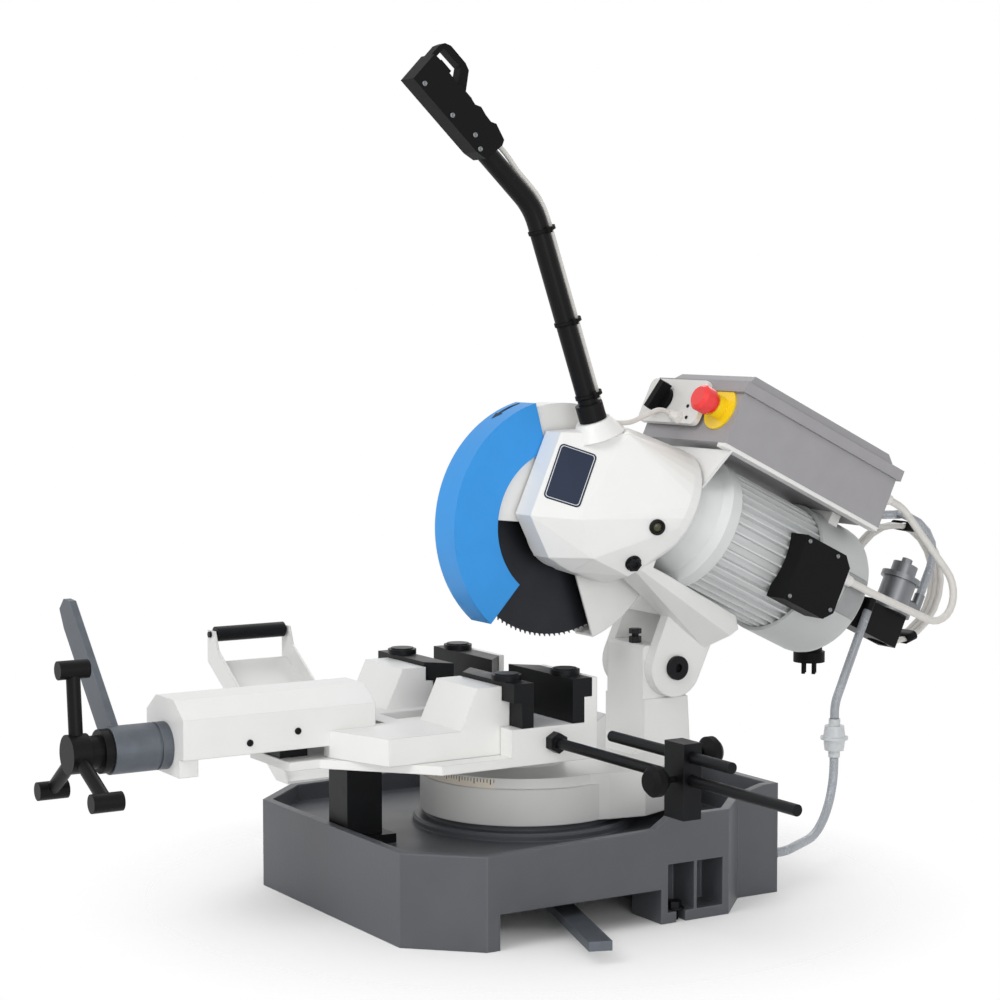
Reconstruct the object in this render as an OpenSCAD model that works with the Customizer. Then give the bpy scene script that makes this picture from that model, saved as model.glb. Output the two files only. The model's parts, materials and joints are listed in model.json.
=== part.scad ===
// Manual pull-down cold saw: a worm-driven circular blade on a tilting head, carried by a mitre
// turret on a cast base, with a screw vise, a length stop and a far roller for long bars.
// Frame: millimetres, Z up, origin on the floor under the mitre axis. -Y is the operator's side,
// +Y the motor side, the blade lies in the YZ plane and +X is the side with the length stop.

/* [Base casting] */
// Full width across the sides
base_w = 546; // [500:1:600]
// Width of the front face between its corner bevels
base_front_w = 390; // [340:1:420]
// Mitre axis to the front face
base_front = 304; // [290:1:330]
// Length of the corner bevels along Y
base_bevel = 82; // [60:1:100]
// Mitre axis to the end of the wide sides
base_side_end = 153; // [140:1:165]
// Width of the narrow rear block
base_rear_w = 422; // [400:1:440]
// Mitre axis to the rear face
base_rear = 283; // [278:1:310]
// Rim height at the front
base_front_h = 121; // [118:1:124]
// Rim height along the sides
base_side_h = 126; // [122:1:132]
// Rim height behind the step
base_step_h = 141; // [134:1:146]
// Rim height at the rear wall
base_rear_h = 152; // [146:1:160]
// Wall thickness
base_wall = 12; // [8:1:14]
// Height of the coolant tray floor
tray_z = 96; // [88:1:100]
// Thickness of the tray floor
tray_t = 10; // [8:1:14]
// Front edge of the lifting-fork opening, in front of the mitre axis
fork_front = 203; // [190:1:210]
// Rear edge of the lifting-fork opening
fork_rear = 44; // [30:1:46]
// Height of the lifting-fork opening
fork_h = 46; // [40:1:50]
// Stand bolt spacing across X
anchor_sx = 340; // [300:1:350]
// Stand bolt spacing along Y
anchor_sy = 480; // [460:1:490]
// Stand bolt thread core diameter (M12)
anchor_d = 10.2; // [8.5:0.1:12]

/* [Mitre turret and column] */
// Radius of the turret drum
turret_r = 142; // [138:1:146]
// Underside of the turret
turret_z = 115; // [112:1:118]
// Height of the plain drum below the scale
drum_h = 49; // [44:1:54]
// Height of the whole turret arm
arm_h = 63; // [60:1:70]
// Radius of the fixed pivot that the turret turns on
pivot_r = 60; // [50:1:70]
// Width of the hinge column
column_w = 96; // [90:1:100]
// Front face of the column
column_front = 172; // [171:0.5:173]
// Rear face of the column at its foot
column_back = 252; // [246:1:256]
// Hinge axis behind the mitre axis
hinge_y = 217; // [215:0.5:219]
// Hinge axis height
hinge_z = 298; // [294:1:302]
// Hinge pin diameter
pin_d = 28; // [24:1:32]

/* [Blade and guards] */
// Spindle axis behind the mitre axis, head raised
blade_y = 50.5; // [48:0.5:53]
// Spindle axis height, head raised
blade_z = 505; // [500:1:510]
// Blade diameter
blade_d = 315; // [300:1:320]
// Blade thickness
blade_t = 2.5; // [2:0.1:3]
// Blade bore
blade_bore = 32; // [32:0.5:40]
// Number of blade teeth
blade_teeth = 120; // [80:4:140]
// Tooth height
tooth_h = 3.6; // [2:0.1:4.5]
// Outer radius of the swinging guard
guard_r = 174.6; // [173:0.1:176]
// Radius of the opening in the swinging guard's cheek
guard_open_r = 106; // [98:1:112]
// Outside width of the swinging guard
guard_w = 52; // [50:0.5:54]
// Sheet thickness of both guards
guard_t = 3; // [2:0.1:3.2]
// Angle where the swinging guard starts, from +Y towards +Z
guard_from = 105; // [95:1:112]
// Angle that the swinging guard covers
guard_sweep = 123; // [110:1:126]
// Radius of the fixed guard
fixed_r = 168; // [166:0.5:169]
// Outside width of the fixed guard
fixed_w = 44; // [42:0.5:45]

/* [Worm gearbox] */
// Downward slope of the motor axis, head raised
head_pitch = 25.45; // [24:0.05:27]
// Plane of the motor and worm axis
drive_x = 70; // [68:0.5:72]
// Distance between spindle axis and worm axis
drive_gap = 77; // [77:0.1:77.5]
// Number of worm wheel teeth
wheel_teeth = 30; // [28:1:32]
// Worm wheel pitch radius
wheel_r = 49.5; // [49:0.1:50]
// Worm wheel face width
wheel_face = 16; // [14:1:18]
// Outer face of the housing
housing_x = 108; // [104:1:112]
// Length of the housing from its nose to the motor flange
housing_len = 192; // [188:1:196]

/* [Motor] */
// Outer radius of the cooling fins
motor_r = 92; // [88:1:93]
// Length of the adapter bell
bell_len = 66; // [62:1:70]
// Length of the finned frame
frame_len = 169; // [164:1:174]
// Radius of the fan cover
cover_r = 98; // [96:1:99]
// Length of the fan cover
cover_len = 97; // [94:1:104]
// Number of cooling fins round the frame
fin_count = 40; // [32:4:44]

/* [Control box] */
// Width across X
box_w = 200; // [192:1:210]
// Length along the motor
box_len = 300; // [290:1:310]
// Height of the box below its lid
box_h = 74; // [70:1:80]
// Height of the lid's lip
lip_h = 16; // [12:1:20]
// Height of the lid's raised top
lid_h = 16; // [10:1:20]

/* [Lever and handle] */
// Diameter of the lever tube
lever_d = 28; // [25:0.5:32]
// Length of the handle grip
grip_len = 152; // [145:1:160]
// Depth of the handle grip, with its hand loop
grip_depth = 81; // [76:1:86]
// Width of the handle grip
grip_w = 34; // [30:1:38]

/* [Vise] */
// Height of the work surface
work_z = 259; // [257:0.5:261]
// Half width of the vise bed
bed_hw = 183; // [178:1:188]
// Work-side face of the fixed jaws, in front of the mitre axis
fixed_face = 36; // [34:0.5:38]
// Opening between the jaws as shown
vise_open = 61; // [58:1:70]
// Height of the jaws
jaw_h = 59; // [54:1:64]
// Gap between the two jaws of a pair
jaw_gap = 44; // [40:1:50]
// Thickness of the jaw plate
jaw_t = 18; // [16:0.5:20]
// Depth of the jaw's hook over its post
jaw_hook = 30; // [28:0.5:32]
// Half width of the movable casting's prongs
prong_hw = 153; // [148:1:153]
// Half width of the octagonal vise arm
vise_arm_hw = 57; // [54:1:60]
// Mitre axis to the arm's front end
vise_arm_end = 535; // [525:1:545]
// Vise screw diameter
screw_d = 18; // [16:0.5:20]
// Height of the vise screw
screw_z = 250; // [248:0.5:252]
// Reach of the handwheel's spokes
wheel_reach = 105; // [95:1:115]
// Reach of the quick-clamp lever
clamp_reach = 235; // [210:1:250]

/* [Length stop] */
// Diameter of both stop rods
rod_d = 14; // [12:0.5:16]
// Length of the main rod outside the bed
rod_len = 507; // [480:1:530]
// Length of the stop finger
finger_len = 250; // [230:1:260]
// Middle of the sliding block along X
stop_x = 470; // [450:1:490]

/* [Roller support] */
// Middle of the roller along X
roller_x = -800; // [-820:1:-780]
// Height of the roller axis
roller_z = 268; // [260:1:276]
// Roller diameter
roller_d = 25; // [22:0.5:28]
// Roller length
roller_len = 124; // [110:1:130]

/* [Coolant and cables] */
// Diameter of the coolant hoses
hose_d = 13; // [11:0.5:14]
// Diameter of the motor cable
motor_cable_d = 11; // [9:0.5:12]
// Diameter of the supply cable
supply_d = 8.5; // [7.5:0.1:9]
// Diameter of the control cable on the lever
control_d = 7; // [6:0.1:8]
// Radius of the supply cable's hanging coil
coil_r = 88; // [82:1:94]
// Loops in the supply cable's coil
coil_turns = 3; // [2:1:3]

/* [Hidden] */

// Fits and cutting allowances
cut = 1;
run_gap = 0.05;
clear_gap = 0.3;
$fn = 64;
hull_fn = 32;

// Colours
paint_white = "#E8E8E6";
base_grey = "#4A4C50";
steel_grey = "#6A6F76";
tool_black = "#1F2022";
guard_blue = "#3E9ADB";
motor_grey = "#C9CBCB";
box_grey = "#9A989B";
bright_steel = "#B8BABD";
bronze = "#B08A4A";
safety_red = "#F23B3B";
safety_yellow = "#F7D51D";
cable_grey = "#C8C4BF";
hose_grey = "#8C9095";
scale_cream = "#EFE3D2";
blade_steel = "#2F3135";

// Solids along one axis, from one end to the other
module xcyl(r, x0, x1, y = 0, z = 0) { translate([x0, y, z]) rotate([0, 90, 0]) cylinder(r = r, h = x1 - x0); }
module ycyl(r, y0, y1, x = 0, z = 0) { translate([x, y0, z]) rotate([-90, 0, 0]) cylinder(r = r, h = y1 - y0); }
module zcyl(r, z0, z1, x = 0, y = 0) { translate([x, y, z0]) cylinder(r = r, h = z1 - z0); }
module block(low, high) { translate(low) cube(high - low); }
// A YZ outline drawn out along X, and an XZ outline drawn out along Y
module xslab(x0, x1) { translate([x0, 0, 0]) rotate([90, 0, 90]) linear_extrude(x1 - x0) children(); }
module yslab(y0, y1) { translate([0, y1, 0]) rotate([90, 0, 0]) linear_extrude(y1 - y0) children(); }
module both_sides() { children(); mirror([1, 0, 0]) children(); }
// A ring profile turned about the X axis; angles run from +Y towards +Z
module xsector(from, sweep) { rotate([0, 90, 0]) rotate([0, 0, from + 90]) rotate_extrude(angle = sweep) children(); }

// Tubes swept along a route
function unit(v) = v / norm(v);
function route_dir(p, i) = unit(p[min(i + 1, len(p) - 1)] - p[max(i - 1, 0)]);
function route_ring(p, i, r, n, side) =
  let (t = route_dir(p, i), u = unit(cross(t, side)), v = cross(t, u))
  [for (k = [0 : n - 1]) p[i] + r * (cos(360 * k / n) * u + sin(360 * k / n) * v)];
function curve_point(p, i, f) =
  let (a = p[max(i - 1, 0)], b = p[i], c = p[i + 1], d = p[min(i + 2, len(p) - 1)])
  b + f * (c - a) / 2 + f * f * (2 * a - 5 * b + 4 * c - d) / 2 + f * f * f * (3 * b - a - 3 * c + d) / 2;
// The first and last pieces of a route stay straight
function smooth_route(p, steps) = concat([p[0]],
  [for (i = [1 : len(p) - 3]) for (k = [0 : steps - 1]) curve_point(p, i, k / steps)],
  [p[len(p) - 2], p[len(p) - 1]]);
module tube(p, d, n, side) {
  last = len(p) - 1;
  points = [for (i = [0 : last]) each route_ring(p, i, d / 2, n, side)];
  walls = [for (i = [0 : last - 1]) for (k = [0 : n - 1])
    let (a = i * n + k, b = i * n + (k + 1) % n) each [[a, a + n, b + n], [a, b + n, b]]];
  start = [for (k = [1 : n - 2]) [0, k, k + 1]];
  end = [for (k = [1 : n - 2]) [last * n, last * n + k + 1, last * n + k]];
  polyhedron(points, concat(walls, start, end));
}

// Base details
base_hw = base_w / 2;
base_front_hw = base_front_w / 2;
base_rear_hw = base_rear_w / 2;
rim_step = 12;
seat_r = 152;
seat_step = 8;
foot_w = 68;
foot_front = fork_rear;
pocket_h = 78;
pocket_depth = 48;
pocket_wall = 10;
pocket_floor = 14;
pocket_rib = 4;
foot_slot_w = 15;
foot_slot_len = 32;
boss_r = 22;
anchor_depth = 30;
lock_stud_d = 20;
lock_boss_r = 34;
inlet_x = 180;
inlet_z = 46;
inlet_r = 14;
inlet_len = 14;
bevel_share = 0.42;
rear_bevel = base_hw - base_rear_hw;
seat_z = turret_z - clear_gap;

function base_outline(inset) = let (
  fx = base_front_hw - bevel_share * inset, fy = -base_front + inset,
  sx = base_hw - inset, sy = -base_front + base_bevel + bevel_share * inset,
  ey = base_side_end - bevel_share * inset, rx = base_rear_hw - inset,
  by = base_side_end + rear_bevel - bevel_share * inset, ry = base_rear - inset)
  [[-fx, fy], [fx, fy], [sx, sy], [sx, ey], [rx, by], [rx, ry],
   [-rx, ry], [-rx, by], [-sx, ey], [-sx, sy]];

module base_block() {
  rim_front = base_front - base_bevel;
  intersection() {
    linear_extrude(base_rear_h) polygon(base_outline(0));
    xslab(-base_hw, base_hw) polygon([
      [-base_front, 0], [-base_front, base_front_h], [-rim_front, base_front_h],
      [fork_rear - rim_step, base_side_h], [fork_rear + rim_step, base_step_h],
      [base_side_end + rear_bevel, base_step_h], [base_rear - base_wall - rim_step, base_rear_h],
      [base_rear, base_rear_h], [base_rear, 0]]);
  }
}

module foot_pocket() {
  half = (base_side_end - foot_front - 2 * pocket_wall - pocket_rib) / 2;
  for (k = [0, 1])
    translate([base_hw - pocket_depth, foot_front + pocket_wall + k * (half + pocket_rib), pocket_floor])
      cube([pocket_depth + cut, half, pocket_h - pocket_floor]);
  translate([base_hw - foot_slot_len, foot_middle - foot_slot_w / 2, -cut])
    cube([foot_slot_len + cut, foot_slot_w, pocket_floor + 2 * cut]);
}
foot_middle = foot_front + pocket_wall + (base_side_end - foot_front - 2 * pocket_wall - pocket_rib) / 4;

module base() {
  color(base_grey) difference() {
    union() {
      difference() {
        base_block();
        translate([0, 0, tray_z]) linear_extrude(base_rear_h) polygon(base_outline(base_wall));
        translate([0, 0, -cut])
          linear_extrude(tray_z - tray_t + cut) polygon(base_outline(base_wall));
      }
      zcyl(seat_r, tray_z - tray_t / 2, tray_z + seat_step);
      zcyl(turret_r + seat_step, tray_z, seat_z - seat_step);
      zcyl(turret_r - seat_step, tray_z, seat_z);
      zcyl(lock_boss_r, fork_h + clear_gap, tray_z);
      both_sides() block([base_hw - foot_w, foot_front, 0], [base_hw - base_wall / 2, base_side_end, tray_z]);
      for (sx = [-1, 1]) for (sy = [-1, 1])
        zcyl(boss_r, 0, tray_z - tray_t / 2, sx * anchor_sx / 2, sy * anchor_sy / 2);
      ycyl(inlet_r, base_rear - base_wall, base_rear + inlet_len, inlet_x, inlet_z);
    }
    block([-base_w, -fork_front, -cut], [base_w, fork_rear, fork_h]);
    both_sides() foot_pocket();
    for (sx = [-1, 1]) for (sy = [-1, 1])
      zcyl(anchor_d / 2, -cut, anchor_depth, sx * anchor_sx / 2, sy * anchor_sy / 2);
    zcyl(lock_stud_d / 2 + run_gap, -cut, base_rear_h);
  }
}

// Levelling bolts in the foot slots
bolt_d = 12;
bolt_head_r = 10;
bolt_head_h = 8;
bolt_inset = 16;
washer_r = 13;
washer_t = 2.5;
module levelling_bolts() {
  color(tool_black) both_sides() translate([base_hw - bolt_inset, foot_middle, 0]) {
    zcyl(bolt_d / 2, 0, pocket_floor + washer_t);
    zcyl(washer_r, pocket_floor, pocket_floor + washer_t);
    translate([0, 0, pocket_floor + washer_t]) cylinder(r = bolt_head_r, h = bolt_head_h, $fn = 6);
  }
}

// Vise bed: a slab on the pivot, side strips and fixed posts
bed_bottom = 210;
way_z = 222;
bed_nose_hw = 58;
bed_nose = 388;
bed_neck = 345;
bed_flare_hw = 150;
bed_flare = 262;
bed_corner = 234;
bed_rear = 45;
bed_rear_hw = 140;
strip_front = 130;
strip_gap = 1;
raise_front = 84;
kerf_hw = 20;
kerf_front = 200;
kerf_floor = 216;
fan_half = 52;
fan_front = 122;
fan_rear = 60;
post_back = 8;
post_in = 52;
post_wall = 8;
hook_drop = 25;
fixed_back = -fixed_face + jaw_hook;

module bed_outline() {
  half = [[bed_nose_hw, -bed_nose], [bed_nose_hw, -bed_neck], [bed_flare_hw, -bed_flare],
      [bed_hw, -bed_corner], [bed_hw, fixed_back + post_back], [bed_rear_hw, bed_rear]];
  polygon(concat(half, [for (k = [len(half) - 1 : -1 : 0]) [-half[k][0], half[k][1]]]));
}

module fixed_post() {
  xslab(post_in, bed_hw) polygon([
    [-fixed_face + jaw_t, way_z], [-fixed_face + jaw_t, work_z + jaw_h - hook_drop],
    [fixed_back, work_z + jaw_h - hook_drop], [fixed_back, work_z + jaw_h],
    [fixed_back + post_wall, work_z + jaw_h], [fixed_back + post_wall, way_z]]);
}

module vise_bed() {
  color(paint_white) {
    difference() {
      union() {
        translate([0, 0, bed_bottom]) linear_extrude(way_z - bed_bottom) bed_outline();
        translate([0, 0, way_z]) intersection() {
          linear_extrude(work_z - way_z) bed_outline();
          union() {
            block([-bed_hw, -raise_front, 0], [bed_hw, bed_rear, work_z]);
            both_sides() block([prong_hw + strip_gap, -strip_front, 0], [bed_hw, 0, work_z]);
          }
        }
        both_sides() fixed_post();
      }
      block([-kerf_hw, -kerf_front, kerf_floor], [kerf_hw, bed_rear + cut, work_z + cut]);
      // room for the blade at every mitre angle
      translate([0, 0, kerf_floor]) {
        rotate([0, 0, 270 - fan_half]) rotate_extrude(angle = 2 * fan_half) square([fan_front, work_z - kerf_floor + cut]);
        rotate([0, 0, 90 - fan_half]) rotate_extrude(angle = 2 * fan_half) square([fan_rear, work_z - kerf_floor + cut]);
      }
      xcyl(rod_d / 2 - cut, bed_hw - bed_rear, bed_hw + cut, rod_y, rod_z);
    }
    zcyl(pivot_r, seat_z, bed_bottom);
  }
}

// Black square post under the bed's nose
support_hw = 26;
support_y = 262;
support_len = 52;
support_foot = 14;
support_step = 12;
module bed_support() {
  color(tool_black) {
    block([-support_hw, -support_y - support_len / 2, tray_z + support_step],
       [support_hw, -support_y + support_len / 2, bed_bottom]);
    block([-support_hw - support_foot, -base_front + base_wall + clear_gap, tray_z],
       [support_hw + support_foot, -support_y + support_len / 2 + support_foot, tray_z + support_step]);
  }
}

// Screw nut block standing on the bed's nose
nut_hw = 26;
nut_len = 40;
nut_y = 366;
nut_top = 274;
module vise_nut() {
  color(bronze) difference() {
    block([-nut_hw, -nut_y - nut_len / 2, way_z], [nut_hw, -nut_y + nut_len / 2, nut_top]);
    ycyl(screw_d / 2 + run_gap, -nut_y - nut_len, -nut_y + nut_len, 0, screw_z);
  }
}

// Length stop: main rod, sliding block with its knobs, stop finger
rod_y = -66;
rod_z = 238;
rod_nut_r = 14;
rod_nut_t = 14;
finger_z = 266;
finger_from = 318;
stop_t = 40;
stop_hw = 13;
stop_low = 190;
stop_high = 283;
knob_r = 19;
knob_shaft_r = 4;
knob_shaft = 12;
knob_len = 26;
module stop_rod() {
  color(tool_black) {
    xcyl(rod_d / 2, bed_hw + rod_nut_t, bed_hw + rod_len, rod_y, rod_z);
    translate([bed_hw, rod_y, rod_z]) rotate([0, 90, 0]) cylinder(r = rod_nut_r, h = rod_nut_t, $fn = 6);
  }
}
module star_knob(y0, dir) {
  mid = y0 + dir * (knob_shaft + knob_len / 2);
  color(tool_black) translate([stop_x, y0, 0]) rotate([-90 * dir, 0, 0]) {
    zcyl(knob_shaft_r, 0, knob_shaft);
    rotate_extrude() polygon([[0, knob_shaft], [knob_r * knob_neck_share, knob_shaft],
      [knob_r, knob_shaft + knob_len * knob_low_share], [knob_r, knob_shaft + knob_len * knob_high_share],
      [knob_r * knob_crown_share, knob_shaft + knob_len], [0, knob_shaft + knob_len]]);
  }
}
knob_neck_share = 0.5;
knob_low_share = 0.4;
knob_high_share = 0.75;
knob_crown_share = 0.7;
module stop_block() {
  color(tool_black) difference() {
    block([stop_x - stop_t / 2, rod_y - stop_hw, stop_low], [stop_x + stop_t / 2, rod_y + stop_hw, stop_high]);
    xcyl(rod_d / 2 + run_gap, stop_x - stop_t, stop_x + stop_t, rod_y, rod_z);
    xcyl(rod_d / 2 + run_gap, stop_x - stop_t, stop_x + stop_t, rod_y, finger_z);
  }
}
module stop_finger() {
  color(tool_black) xcyl(rod_d / 2, finger_from, finger_from + finger_len, rod_y, finger_z);
}
module stop_knob_front() { translate([0, 0, rod_z]) star_knob(rod_y - stop_hw - clear_gap, -1); }
module stop_knob_rear() { translate([0, 0, finger_z]) star_knob(rod_y + stop_hw + clear_gap, 1); }

// Jaws: plate, hook over the post and a round cap screw
jaw_in = jaw_gap / 2;
jaw_lift = 0.5;
cap_r = 20;
cap_h = 9;
cap_x = 140;
cap_head_share = 0.8;
module jaw_profile(face, dir) {
  polygon([[face, work_z + jaw_lift], [face + dir * jaw_t, work_z + jaw_lift],
       [face + dir * jaw_t, work_z + jaw_h - hook_drop + jaw_lift],
       [face + dir * jaw_hook, work_z + jaw_h - hook_drop + jaw_lift],
       [face + dir * jaw_hook, work_z + jaw_h], [face, work_z + jaw_h]]);
}
module jaw(face, dir) {
  back = face + dir * jaw_hook;
  color(tool_black) {
    difference() {
      xslab(jaw_in, bed_hw) jaw_profile(face, dir);
      // blade-side end bevelled so that the blade can swing
      translate([0, 0, work_z]) linear_extrude(jaw_h + cut) polygon([
        [jaw_in - cut, face], [jaw_in, face], [jaw_in + jaw_hook + cut, back + dir * cut],
        [jaw_in - cut, back + dir * cut]]);
    }
    translate([cap_x, face + dir * jaw_hook / 2, work_z + jaw_h]) {
      zcyl(cap_r, 0, cap_h * cap_head_share);
      zcyl(cap_r * cap_head_share, 0, cap_h);
    }
  }
}
movable_face = -fixed_face - vise_open;
module fixed_jaw_right() { jaw(-fixed_face, 1); }
module fixed_jaw_left() { mirror([1, 0, 0]) jaw(-fixed_face, 1); }
module movable_jaw_right() { jaw(movable_face, -1); }
module movable_jaw_left() { mirror([1, 0, 0]) jaw(movable_face, -1); }

// Movable vise casting: prongs, posts and a hollow octagonal arm
prong_top = work_z - 1;
prong_bottom = way_z + clear_gap;
post_front = movable_face - jaw_t - jaw_lift;
post_top = work_z + jaw_h - 6;
post_len = 48;
post_slope = 26;
prong_back = 262;
prong_neck = 330;
prong_slot_hw = 24;
prong_slot_end = 212;
prong_in = 46;
arm_top = 311;
arm_flat_hw = 27;
arm_side_z = 289;
arm_low = 238;
arm_hollow_hw = 42;
arm_hollow_top = 292;
arm_end_wall = 30;
arm_hollow_rear = 240;
lug_hw = 44;
lug_low = 214;
lug_len = 26;
module prong_outline() {
  half = [[prong_hw, post_front - clear_gap], [prong_hw, -prong_back + bed_neck - prong_neck - post_len],
      [vise_arm_hw, -prong_neck]];
  polygon(concat(half, [for (k = [len(half) - 1 : -1 : 0]) [-half[k][0], half[k][1]]]));
}
module movable_post() {
  hook = work_z + jaw_h - hook_drop;
  back = movable_face - jaw_hook - clear_gap;
  xslab(prong_in, prong_hw) polygon([
    [post_front, prong_top - cut], [post_front, hook], [back, hook], [back, post_top],
    [post_front - post_len, post_top], [post_front - post_len - post_slope, prong_top - cut]]);
}
module vise_arm() {
  color(paint_white) difference() {
    union() {
      translate([0, 0, prong_bottom]) linear_extrude(prong_top - prong_bottom) prong_outline();
      yslab(-vise_arm_end, -prong_back) polygon([
        [-vise_arm_hw, arm_low], [vise_arm_hw, arm_low], [vise_arm_hw, arm_side_z], [arm_flat_hw, arm_top],
        [-arm_flat_hw, arm_top], [-vise_arm_hw, arm_side_z]]);
      block([-lug_hw, -vise_arm_end, lug_low], [lug_hw, -vise_arm_end + lug_len, arm_low]);
      both_sides() movable_post();
    }
    block([-arm_hollow_hw, -vise_arm_end + arm_end_wall, -cut],
       [arm_hollow_hw, -arm_hollow_rear, arm_hollow_top]);
    block([-prong_slot_hw, -prong_slot_end, 0], [prong_slot_hw, 0, arm_top + cut]);
    ycyl(screw_d / 2 + run_gap, -vise_arm_end - cut, -vise_arm_end + arm_end_wall + cut, 0, screw_z);
  }
}

// Handwheel with its screw, and the quick-clamp sleeve and lever on the screw
sleeve_r = 30.5;
sleeve_len = 77;
sleeve_groove = 2;
groove_at = 14;
groove_w = 3;
collar_r = 28;
collar_len = 12;
boss_len = 16;
boss_hub_r = 21;
hub_r = 25;
hub_len = 26;
screw_tail = 250;
spoke_r = 9;
spoke_angles = [95, 215, 335];
grip_r = 12;
grip_bar = 40;
clamp_lean = 43.6;
clamp_bar_w = 40;
clamp_bar_t = 10;
clamp_tip_share = 0.35;
sleeve_end = -vise_arm_end - clear_gap;
collar_end = sleeve_end - sleeve_len - clear_gap;
hub_end = collar_end - collar_len - boss_len - hub_len;
module clamp_lever() {
  bar_y = sleeve_end - sleeve_len + clamp_bar_t;
  color(steel_grey) difference() {
    union() {
      difference() {
        ycyl(sleeve_r, sleeve_end - sleeve_len, sleeve_end, 0, screw_z);
        difference() {
          ycyl(sleeve_r + cut, sleeve_end - groove_at - groove_w, sleeve_end - groove_at, 0, screw_z);
          ycyl(sleeve_r - sleeve_groove, sleeve_end - sleeve_len, sleeve_end, 0, screw_z);
        }
      }
      translate([0, bar_y, screw_z]) rotate([0, -clamp_lean, 0]) yslab(-clamp_bar_t / 2, clamp_bar_t / 2)
        polygon([[-clamp_bar_w / 2, 0], [clamp_bar_w / 2, 0],
             [clamp_bar_w / 2, clamp_reach - clamp_bar_w * clamp_tip_share],
             [clamp_bar_w * clamp_tip_share / 2, clamp_reach],
             [-clamp_bar_w * clamp_tip_share, clamp_reach],
             [-clamp_bar_w / 2, clamp_reach - clamp_bar_w * 2 * clamp_tip_share]]);
    }
    ycyl(screw_d / 2 + run_gap, sleeve_end - sleeve_len - cut, sleeve_end + cut, 0, screw_z);
  }
}
module handwheel() {
  mid = hub_end + hub_len / 2;
  color(tool_black) {
    ycyl(collar_r, collar_end - collar_len, collar_end, 0, screw_z);
    ycyl(boss_hub_r, hub_end, collar_end, 0, screw_z);
    ycyl(hub_r, hub_end, hub_end + hub_len, 0, screw_z);
    for (a = spoke_angles) translate([0, mid, screw_z]) rotate([0, -a, 0]) {
      xcyl(spoke_r, 0, wheel_reach);
      ycyl(grip_r, -grip_bar / 2, grip_bar / 2, wheel_reach);
    }
  }
  color(bright_steel) ycyl(screw_d / 2, collar_end, -screw_tail, 0, screw_z);
}

// Far roller on a sloped sheet arm, carried by a bar from the base's left side
roller_y = -34;
roller_gap = 4;
plate_t = 4;
ear_drop = 46;
slope_dx = 240;
slope_dz = 152;
flange_h = 22;
bar_w = 40;
bar_h = 24;
foot_plate = 40;
roller_pin_r = 5;
module roller_arm() {
  hw = roller_len / 2 + roller_gap + plate_t;
  low = [roller_x + slope_dx, roller_z - ear_drop - slope_dz];
  color(paint_white) {
    // folded sheet: sloped web with two side flanges that rise into the roller's ears
    yslab(roller_y - hw, roller_y + hw) polygon([
      [roller_x, roller_z - ear_drop], [roller_x + plate_t, roller_z - ear_drop],
      [low[0] + plate_t, low[1]], [low[0] + foot_plate, low[1]], [low[0] + foot_plate, low[1] - plate_t],
      [low[0], low[1] - plate_t], [roller_x, roller_z - ear_drop - plate_t]]);
    for (k = [-1, 1]) translate([0, roller_y + k * (hw - plate_t / 2), 0]) difference() {
      yslab(-plate_t / 2, plate_t / 2) polygon([
        [roller_x - roller_d / 2, roller_z + roller_d / 4], [roller_x + roller_d / 2, roller_z + roller_d / 4],
        [roller_x + roller_d, roller_z - ear_drop + flange_h], [low[0] + flange_h, low[1] + flange_h],
        [low[0] + foot_plate, low[1]], [low[0], low[1] - plate_t], [roller_x - roller_d / 2, roller_z - ear_drop]]);
      ycyl(roller_pin_r + run_gap, -plate_t, plate_t, roller_x, roller_z);
    }
  }
  color(tool_black) block([low[0] - bar_w / 4, roller_y - bar_w / 2, low[1] - plate_t - bar_h],
              [-base_hw, roller_y + bar_w / 2, low[1] - plate_t]);
}
module roller() {
  color(tool_black) {
    ycyl(roller_d / 2, roller_y - roller_len / 2, roller_y + roller_len / 2, roller_x, roller_z);
    ycyl(roller_pin_r, roller_y - roller_len / 2 - roller_gap - plate_t * 2,
       roller_y + roller_len / 2 + roller_gap + plate_t * 2, roller_x, roller_z);
  }
}

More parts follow.
